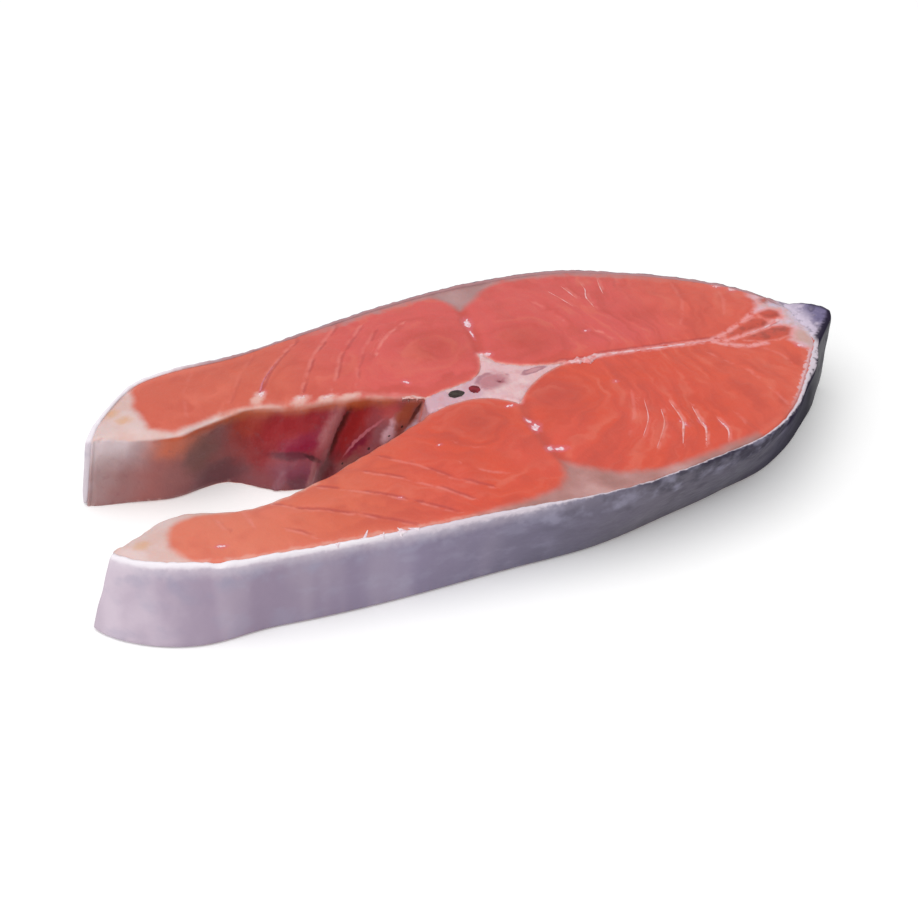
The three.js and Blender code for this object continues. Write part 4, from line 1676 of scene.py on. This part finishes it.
@dataclass
class Skin:
    """Strip of skin round the outside, which ends in the fin stub.

    Attributes:
        node: Solid that it stands for.
        sharp: Angle in degrees from which an edge counts as sharp.
        crease: Sharpness of these edges.
        dent: Depth of the soft dents over the belly.
        small_dent: Depth of the finer dents all round.
        fray: Unevenness of its upper edge.
        notch: Nick in the upper edge.
        fin_root: Plan x at which the stub starts.
        fin_rise: Height of the swelling along the far edge of the stub.
        fin_grain: Height of the waves on the cut top of the stub.
        far_edge: Plan points along the far edge of the stub.
        near_edge: Plan points along its near edge.
        keel: Swelling low on the near side of the stub.
        fold: Fold in the upper edge next to the stub.
        tip: Blunt corner of the stub.
        tip_shift: How the tip moves where it is blunted most.
    """

    node: str = "skin"
    sharp: float = 45.0
    crease: float = 0.4
    dent: float = 0.8
    small_dent: float = 0.25
    fray: float = 0.3
    notch: Mound = Mound((-91.2, -43.2), 1.1, 1.8)
    fin_root: float = 85.4
    fin_rise: float = 1.1
    fin_grain: float = 0.4
    far_edge: Line = ((90.5, 4.6), (93.0, 2.4), (96.0, 0.2))
    near_edge: Line = ((83.0, -14.0), (85.5, -12.0), (90.4, -7.6), (94.9, -3.0), (96.4, -1.4))
    keel: Mound = Mound((86.0, -13.0), 1.3, 7.0)
    fold: Mound = Mound((80.0, -20.5), 1.1, 6.0)
    tip: Mound = Mound((97.0, -1.0), 1.0, 1.8)
    tip_shift: tuple[float, float, float] = (-0.6, 0.0, -0.7)

    def build(self) -> Piece:
        """Models the skin from its solid.

        Returns:
            The skin with its relief and the attributes that its finish reads.
        """
        piece = copy_of(self.node, "skin_strip")
        crease_sharp(piece, self.sharp, self.crease)
        subdivide(piece, 2)
        self.shape(Surface.of(piece))
        return piece

    def shape(self, surface: Surface) -> None:
        """Moves the vertices for the relief and keeps what the finish reads.

        Args:
            surface: Surface of the skin.
        """
        plan = surface.plan
        up = surface.normal[:, 2]
        height = surface.place[:, 2]
        along = plan[:, 0]
        flesh = tree_of(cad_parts["flesh"])
        depth = np.maximum(distances(flesh, surface.place) - GAP, 0)
        lip = RIM + GAP - height - 1.2 * ease(along, -93, -108)
        fin_top = ease(up, 0.5, 0.85) * ease(along, self.fin_root - 1.5, self.fin_root + 0.5)
        middle = ease(height, 0, 5) * ease(height, RIM + 1, RIM - 4)
        long_waves = surface.place * np.array((1.0, 1.0, 0.25))
        dents = self.dent * ease(along, 0, -60) * ripple(long_waves, 13.0, 2.7)
        dents += self.small_dent * ripple(surface.place, 6.0, 5.1)
        keel = self.keel.over(plan) * ease(height, 18, 8)
        fold = self.fold.over(plan) * ease(height, 13, 19) * ease(depth, 0.2, 1.0)
        shift = surface.sideways * (middle * dents + keel + fold)[:, None]
        ragged = ripple(surface.place, 1.6, 1.9) + 0.7 * ripple(surface.place, 4.5, 8.2)
        shift[:, 2] += ease(lip, 1.6, 0.2) * (self.fray * ragged - self.notch.over(plan))
        shift[:, 2] += self.fin_grain * fin_top * ripple(surface.place, 3.0, 4.4)
        swelling = self.fin_rise * hump(line_gap(plan, self.far_edge), 2.6)
        shift[:, 2] += swelling * ease(height, RIM - 3, RIM - 0.5)
        blunt = self.tip.over(plan) * ease(height, RIM - 3, RIM)
        shift += blunt[:, None] * np.array(self.tip_shift)
        surface.move(shift)
        # Distance to the near edge of the stub, read for the painted shade in the crease there
        surface.store("crease", np.abs(line_gap(plan, self.near_edge)))
        surface.store("lip", lip)
        surface.store("depth", depth)
        surface.store("fin_top", fin_top)

    def dress(self, piece: Piece) -> None:
        """Gives the skin its finish and lets it stand for its solid."""
        finish_piece(piece, SkinFinish().material())
        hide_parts(self.node)


@dataclass
class Backbone:
    """Four-pointed section of bone between the halves.

    Attributes:
        node: Solid that it stands for.
        voxel: Size of its faces.
        growth: How far it grows into the flesh, to close the gap.
        rise: How far its upper face is lifted.
        grain: Height of the waves on that face.
    """

    node: str = "backbone"
    voxel: float = 0.4
    growth: float = 0.9
    rise: float = 0.15
    grain: float = 0.2

    def build(self) -> Piece:
        """Models the bone from its solid.

        Returns:
            The bone with an even fine mesh and small relief.
        """
        piece = copy_of(self.node, "backbone_section")
        apply_modifier(piece, "REMESH", mode="VOXEL", voxel_size=self.voxel * MM)
        apply_modifier(piece, "SMOOTH", factor=0.5, iterations=3)
        surface = Surface.of(piece)
        up = np.abs(surface.normal[:, 2])
        shift = surface.sideways * (self.growth * ease(up, 0.97, 0.5))[:, None]
        relief = self.rise + self.grain * ripple(surface.place, 3.0)
        shift[:, 2] += ease(surface.normal[:, 2], 0.4, 0.8) * relief
        surface.move(shift)
        return piece

    def dress(self, piece: Piece) -> None:
        """Gives the bone its finish and lets it stand for its solid."""
        finish_piece(piece, BoneFinish().material())
        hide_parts(self.node)


@dataclass
class Clots:
    """Clotted blood that fills the cut vessels of the backbone.

    Attributes:
        depth: How far the clots lie below the upper face.
        bulge: Height of a clot above its middle.
        grain: Unevenness of its surface.
    """

    depth: float = 0.45
    bulge: float = 0.5
    grain: float = 0.12

    def clot(self, name: str, centre: Point, half: Point, turn: float) -> Piece:
        """Models one clot as a low dome.

        Args:
            name: Name of the piece.
            centre: Plan point of its middle.
            half: Half sizes along and across.
            turn: Turn in degrees.

        Returns:
            The dome.
        """
        place = Vector((centre[0] + SPINE[0], centre[1] + SPINE[1], RIM - self.depth)) * MM
        bpy.ops.object.select_all(action="DESELECT")
        bpy.ops.mesh.primitive_uv_sphere_add(segments=40, ring_count=20, radius=MM, location=place)
        piece = bpy.context.object
        with edit_mode(piece):
            bpy.ops.mesh.select_all(action="SELECT")
            bpy.ops.transform.resize(value=(*half, self.bulge), center_override=place)
            bpy.ops.transform.rotate(value=-math.radians(turn), orient_axis="Z", center_override=place)
            bpy.ops.transform.vertex_random(offset=self.grain * MM, seed=3)
            bpy.ops.mesh.vertices_smooth(factor=0.5, repeat=3)
        return join([piece], name)

    def build(self) -> tuple[Piece, Piece]:
        """Models both clots.

        Returns:
            The large grey one and the small red one.
        """
        large = self.clot("vessel_clot_grey", (-13.2, 1.3), (3.5, 2.9), 8)
        small = self.clot("vessel_clot_red", (-7.8, 1.6), (2.3, 3.1), 0)
        return large, small

    def dress(self, pieces: tuple[Piece, Piece]) -> None:
        """Gives the clots their finishes."""
        for piece, finish in zip(pieces, (GREY_CLOT, RED_CLOT)):
            finish_piece(piece, finish.material())


@dataclass
class Strands:
    """Strips of tissue that lie on the upper face.

    Attributes:
        ground: Search tree of what they lie on.
        flatness: Height of a strand as a share of its width.
        steps: Points between two points of a route.
        thinnest: Least half width.
        search: How far below the rim the face is looked for.
        sunk: How far below the rim a strand lies where the face is missing.
    """

    ground: BVHTree
    flatness: float = 0.4
    steps: int = 8
    thinnest: float = 0.03
    search: float = 3.0
    sunk: float = 0.4

    def level(self, x: float, y: float) -> float:
        """Height of the upper face over a place in plan.

        Args:
            x: Place along x in metres.
            y: Place along y in metres.

        Returns:
            Height in metres, just below the rim where the face is missing.
        """
        start = Vector((x, y, 2 * RIM * MM))
        hit = self.ground.ray_cast(start, Vector((0, 0, -1)))[0]
        found = hit is not None and hit.z > (RIM - self.search) * MM
        return hit.z if found else (RIM - self.sunk) * MM

    def strand(self, route: Sequence[Point], half_widths: Sequence[float], ragged: float = 0.4) -> Piece:
        """Models one strand as a flat uneven tube.

        Args:
            route: Plan points that it runs through.
            half_widths: Half width at each of these points.
            ragged: Unevenness of its width.

        Returns:
            The strand as a mesh.
        """
        reach = len(route) - 1
        shares = np.linspace(0, reach, self.steps * reach + 1)
        points = np.array(route, float)
        middle = np.column_stack([self.smooth(shares, points[:, axis]) for axis in (0, 1)]) + SPINE
        places = np.column_stack((middle, np.zeros(len(middle))))
        widths = np.interp(shares, np.arange(len(route)), half_widths)
        widths = widths * (1 + ragged * (ripple(places, 1.3) + 0.6 * ripple(places, 3.1, 4.0)))
        bpy.ops.object.select_all(action="DESELECT")
        bpy.ops.curve.primitive_nurbs_path_add()
        piece = bpy.context.object
        curve = piece.data
        curve.splines.clear()
        spline = curve.splines.new("POLY")
        spline.points.add(len(shares) - 1)
        for point, (x, y), width in zip(spline.points, middle * MM, widths):
            point.co = (x, y, 0.0, 1.0)
            point.radius = max(width, self.thinnest)
        curve.dimensions = "3D"
        curve.bevel_depth = MM
        curve.bevel_resolution = 2
        curve.use_fill_caps = True
        bpy.ops.object.convert(target="MESH")
        piece = bpy.context.object
        for vertex in piece.data.vertices:
            vertex.co.z = self.level(vertex.co.x, vertex.co.y) + self.flatness * vertex.co.z
        return piece

    def smooth(self, shares: Array, values: Array) -> Array:
        """Values on a smooth curve through knots.

        Args:
            shares: Where to read, in knots.
            values: Value at each knot.

        Returns:
            Value at each share.
        """
        start = np.clip(shares.astype(int), 0, len(values) - 2)
        rest = shares - start
        padded = np.concatenate(([2 * values[0] - values[1]], values, [2 * values[-1] - values[-2]]))
        before, first, second, after = (padded[start + offset] for offset in range(4))
        pull = second - before
        bend = 2 * before - 5 * first + 4 * second - after
        twist = 3 * first - before - 3 * second + after
        return first + 0.5 * rest * (pull + rest * (bend + rest * twist))

    def streaks(self) -> Piece:
        """Models the bright strips of fat between the flakes.

        Returns:
            All strips as one piece.
        """
        made = []
        for half in HALVES:
            for line in half.flakes:
                if line.mark is STREAK:
                    width = 0.1 + 0.3 * line.weight
                    widths = np.linspace(0.5, 1.0, len(line.route)) * width
                    widths[0] = widths[-1] = 0.05
                    made.append(self.strand(line.route, widths, 0.6))
        return join(made, "fat_streaks")

    def septum(self) -> Piece:
        """Models the white sheet between the halves, with its lumps at the backbone.

        Returns:
            The sheet, its lumps and a fork as one piece.
        """
        made = [self.strand(SEPTUM, (0.5, 0.8, 1.0, 0.7, 0.32, 0.34, 0.1), 0.7)]
        lumps = (
            (((21.0, 3.6), (22.4, 3.3), (23.8, 3.2)), 1.6),
            (((23.2, 2.2), (24.6, 2.4), (26.4, 2.7)), 1.7),
            (((25.6, 3.4), (27.4, 3.5), (29.4, 3.6)), 1.1),
        )
        made.extend(self.strand(route, (0.3 * width, width, 0.3 * width), 0.6) for route, width in lumps)
        made.append(self.strand(FORKS[1][2:], (0.06, 0.3, 0.5), 0.8))
        return join(made, "septum_web")

    def vein(self) -> Piece:
        """Models the vein across the far flap."""
        route = ((-49.5, 34.4), (-52.5, 31.2), (-55.1, 28.2), (-57.6, 24.8), (-59.8, 20.8))
        return join([self.strand(route, (0.04, 0.1, 0.2, 0.26, 0.3), 0.7)], "flap_vein")

    def rim_tissue(self) -> Piece:
        """Models the white strip of tissue on the brink of the cavity next to the backbone."""
        route = ((-26.4, 5.7), (-24.6, 5.2), (-22.8, 4.3), (-19.6, 2.8))
        return join([self.strand(route, (0.5, 0.8, 0.8, 0.4), 0.5)], "rim_tissue")

    def shreds(self) -> Piece:
        """Models the white shreds on the upper edge of the near skin.

        Returns:
            All shreds as one piece.
        """
        routes = (
            ((-63.2, -46.2), (-62.5, -45.7), (-61.6, -45.6)),
            ((-57.4, -46.5), (-55.9, -45.7), (-54.4, -43.7)),
            ((-52.2, -47.2), (-51.6, -46.6), (-51.1, -45.8)),
            ((-48.0, -47.8), (-47.1, -47.0), (-47.5, -45.4)),
            ((-46.6, -48.0), (-46.6, -47.0), (-46.9, -45.9)),
            ((-43.0, -48.0), (-44.0, -47.2), (-45.2, -46.4)),
        )
        return join([self.strand(route, (0.6, 0.5, 0.1), 0.6) for route in routes], "skin_shreds")

    def build(self) -> dict[TissueFinish, Piece]:
        """Models all strands.

        Returns:
            The pieces by their finish.
        """
        return {
            STREAK_FAT: self.streaks(),
            SEPTUM_TISSUE: self.septum(),
            VEIN_WALL: self.vein(),
            RIM_TISSUE: self.rim_tissue(),
            SHRED_SKIN: self.shreds(),
        }

    def dress(self, pieces: dict[TissueFinish, Piece]) -> None:
        """Gives the strands their finishes."""
        for finish, piece in pieces.items():
            finish_piece(piece, finish.material())


@dataclass
class Crumbs:
    """Crumbs of white fat on the cut face.

    Attributes:
        strands: Strands, which know the height of the face.
        seed: Seed of their sizes and places.
        lengths: Least and greatest length as a share of the cluster's.
        widths: Least and greatest width as a share of the length.
        swing: Farthest turn out of the line of the cluster, in radians.
        swelling: Size of a crumb against its length and width.
        flatness: Height of a crumb as a share of its width.
        grain: Unevenness of a crumb 1 mm across.
    """

    strands: Strands
    seed: int = 7
    lengths: Point = (0.4, 0.9)
    widths: Point = (0.35, 0.7)
    swing: float = 0.7
    swelling: float = 1.25
    flatness: float = 0.5
    grain: float = 0.16

    def build(self) -> Piece:
        """Models the crumbs.

        Returns:
            All crumbs as one piece.
        """
        dice = random.Random(self.seed)
        made = []
        for cluster in CLUSTERS:
            turn = math.radians(cluster.turn)
            for _ in range(cluster.count):
                along = dice.uniform(-1, 1) * cluster.spread[0]
                across = dice.uniform(-1, 1) * cluster.spread[1]
                x = cluster.centre[0] + along * math.cos(turn) - across * math.sin(turn)
                y = cluster.centre[1] + along * math.sin(turn) + across * math.cos(turn)
                length = cluster.size * dice.uniform(*self.lengths)
                width = length * dice.uniform(*self.widths)
                swung = turn + dice.uniform(-self.swing, self.swing)
                made.append(self.crumb((x, y), (length, width), swung, len(made)))
        return join(made, "fat_crumbs")

    def crumb(self, centre: Point, size: Point, turn: float, seed: int) -> Piece:
        """Models one crumb as a flat uneven drop.

        Args:
            centre: Plan point of its middle.
            size: Length and width.
            turn: Turn in radians.
            seed: Seed of its shape.

        Returns:
            The crumb.
        """
        x, y = ((np.array(centre) + SPINE) * MM).tolist()
        place = Vector((x, y, self.strands.level(x, y)))
        long, wide = (self.swelling * part for part in size)
        bpy.ops.object.select_all(action="DESELECT")
        bpy.ops.mesh.primitive_ico_sphere_add(subdivisions=3, radius=0.5 * MM, location=place)
        piece = bpy.context.object
        with edit_mode(piece):
            bpy.ops.mesh.select_all(action="SELECT")
            bpy.ops.transform.vertex_random(offset=self.grain * MM, seed=seed)
            bpy.ops.mesh.vertices_smooth(factor=0.5, repeat=3)
            grown = (long, wide, self.flatness * size[1])
            bpy.ops.transform.resize(value=grown, center_override=place)
            bpy.ops.transform.rotate(value=-turn, orient_axis="Z", center_override=place)
        return piece

    def dress(self, piece: Piece) -> None:
        """Gives the crumbs their finish."""
        finish_piece(piece, WHITE_FAT.material())


@dataclass
class Studio:
    """Pale floor, soft light and camera.

    Attributes:
        target: Point that the camera looks at, in millimetres.
        elevation: Height of the camera above the horizon, in degrees.
        azimuth: Turn of the camera round the steak, in degrees.
        distance: Distance of the camera from the target in millimetres.
        focal_length: Focal length in pixels of the image.
        image_size: Width of the image in pixels.
        surroundings: Strength of the white light from all round.
        glow: Light of the floor's own, which keeps its shadows pale.
    """

    target: tuple[float, float, float] = (-12.18, -23.82, 21.0)
    elevation: float = 36.0
    azimuth: float = -22.5
    distance: float = 556.2
    focal_length: float = 2250.0
    image_size: float = 918.0
    surroundings: float = 0.5
    glow: float = 0.12

    def build(self) -> None:
        """Sets up the floor, the lights, the surroundings and the camera."""
        self.floor()
        self.light("key", (-0.3, -0.1, 1.3), 1.8, 15.0)
        self.light("fill", (-1.1, -0.8, 0.6), 0.8, 3.0)
        world = bpy.data.worlds.new("studio")
        bpy.context.scene.world = world
        world.use_nodes = True
        sky = world.node_tree.nodes["Background"].inputs
        sky["Color"].default_value = (1.0, 1.0, 1.0, 1.0)
        sky["Strength"].default_value = self.surroundings
        self.camera()
        bpy.context.scene.view_settings.view_transform = "Standard"

    def floor(self) -> None:
        """Lays a wide pale floor under the steak."""
        bpy.ops.object.select_all(action="DESELECT")
        bpy.ops.mesh.primitive_plane_add(size=8.0, location=(0, 0, 0))
        floor = bpy.context.object
        floor.name = "floor"
        board = Board("floor")
        board.gloss(0.1, 0.0, 0.5)
        colour = board.lay(paint(244, 244, 244), paint(248, 248, 248), board.noise(400))
        glow = {"Emission Color": (1.0, 1.0, 1.0), "Emission Strength": self.glow}
        board.fill(board.shader, {"Base Color": colour, "Roughness": 0.8, **glow})
        floor.data.materials.append(board.material)

    def light(self, name: str, place: tuple[float, float, float], size: float, power: float) -> None:
        """Hangs a square soft light that faces the steak.

        Args:
            name: Name of the light.
            place: Where it hangs, in metres.
            size: Side of the square in metres.
            power: Power in watts.
        """
        lamp = bpy.data.lights.new(name, "AREA")
        lamp.size = size
        lamp.energy = power
        light = bpy.data.objects.new(name, lamp)
        light.location = place
        light.rotation_euler = (-Vector(place)).to_track_quat("-Z", "Y").to_euler()
        bpy.context.scene.collection.objects.link(light)

    def camera(self) -> None:
        """Sets the camera at the view of the steak from above the near belly flap."""
        lift, turn = math.radians(self.elevation), math.radians(self.azimuth)
        back = Vector((
            math.sin(turn) * math.cos(lift),
            -math.cos(turn) * math.cos(lift),
            math.sin(lift),
        ))
        lens = bpy.data.cameras.new("camera")
        lens.lens = lens.sensor_width * self.focal_length / self.image_size
        lens.clip_start = 0.01
        camera = bpy.data.objects.new("camera", lens)
        camera.location = (Vector(self.target) + back * self.distance) * MM
        camera.rotation_euler = (-back).to_track_quat("-Z", "Y").to_euler()
        bpy.context.scene.collection.objects.link(camera)
        bpy.context.scene.camera = camera


def report(*pieces: Piece) -> None:
    """Logs each finished piece with the number of its faces."""
    for piece in pieces:
        LOG.info("%s: %d faces", piece.name, len(piece.data.polygons))


def main() -> None:
    """Builds, dresses and reports the steak piece by piece, then sets up its studio."""
    logging.basicConfig(level=logging.INFO, format="%(name)s: %(message)s")
    solids: list[Piece] = []
    for part in (Flesh(), Skin(), Backbone()):
        piece = part.build()
        part.dress(piece)
        report(piece)
        solids.append(piece)
    clots = Clots()
    fillings = clots.build()
    clots.dress(fillings)
    report(*fillings)
    strands = Strands(tree_of(*solids))
    tissues = strands.build()
    strands.dress(tissues)
    report(*tissues.values())
    crumbs = Crumbs(strands)
    fat = crumbs.build()
    crumbs.dress(fat)
    report(fat)
    Studio().build()


if __name__ == "__main__":
    main()
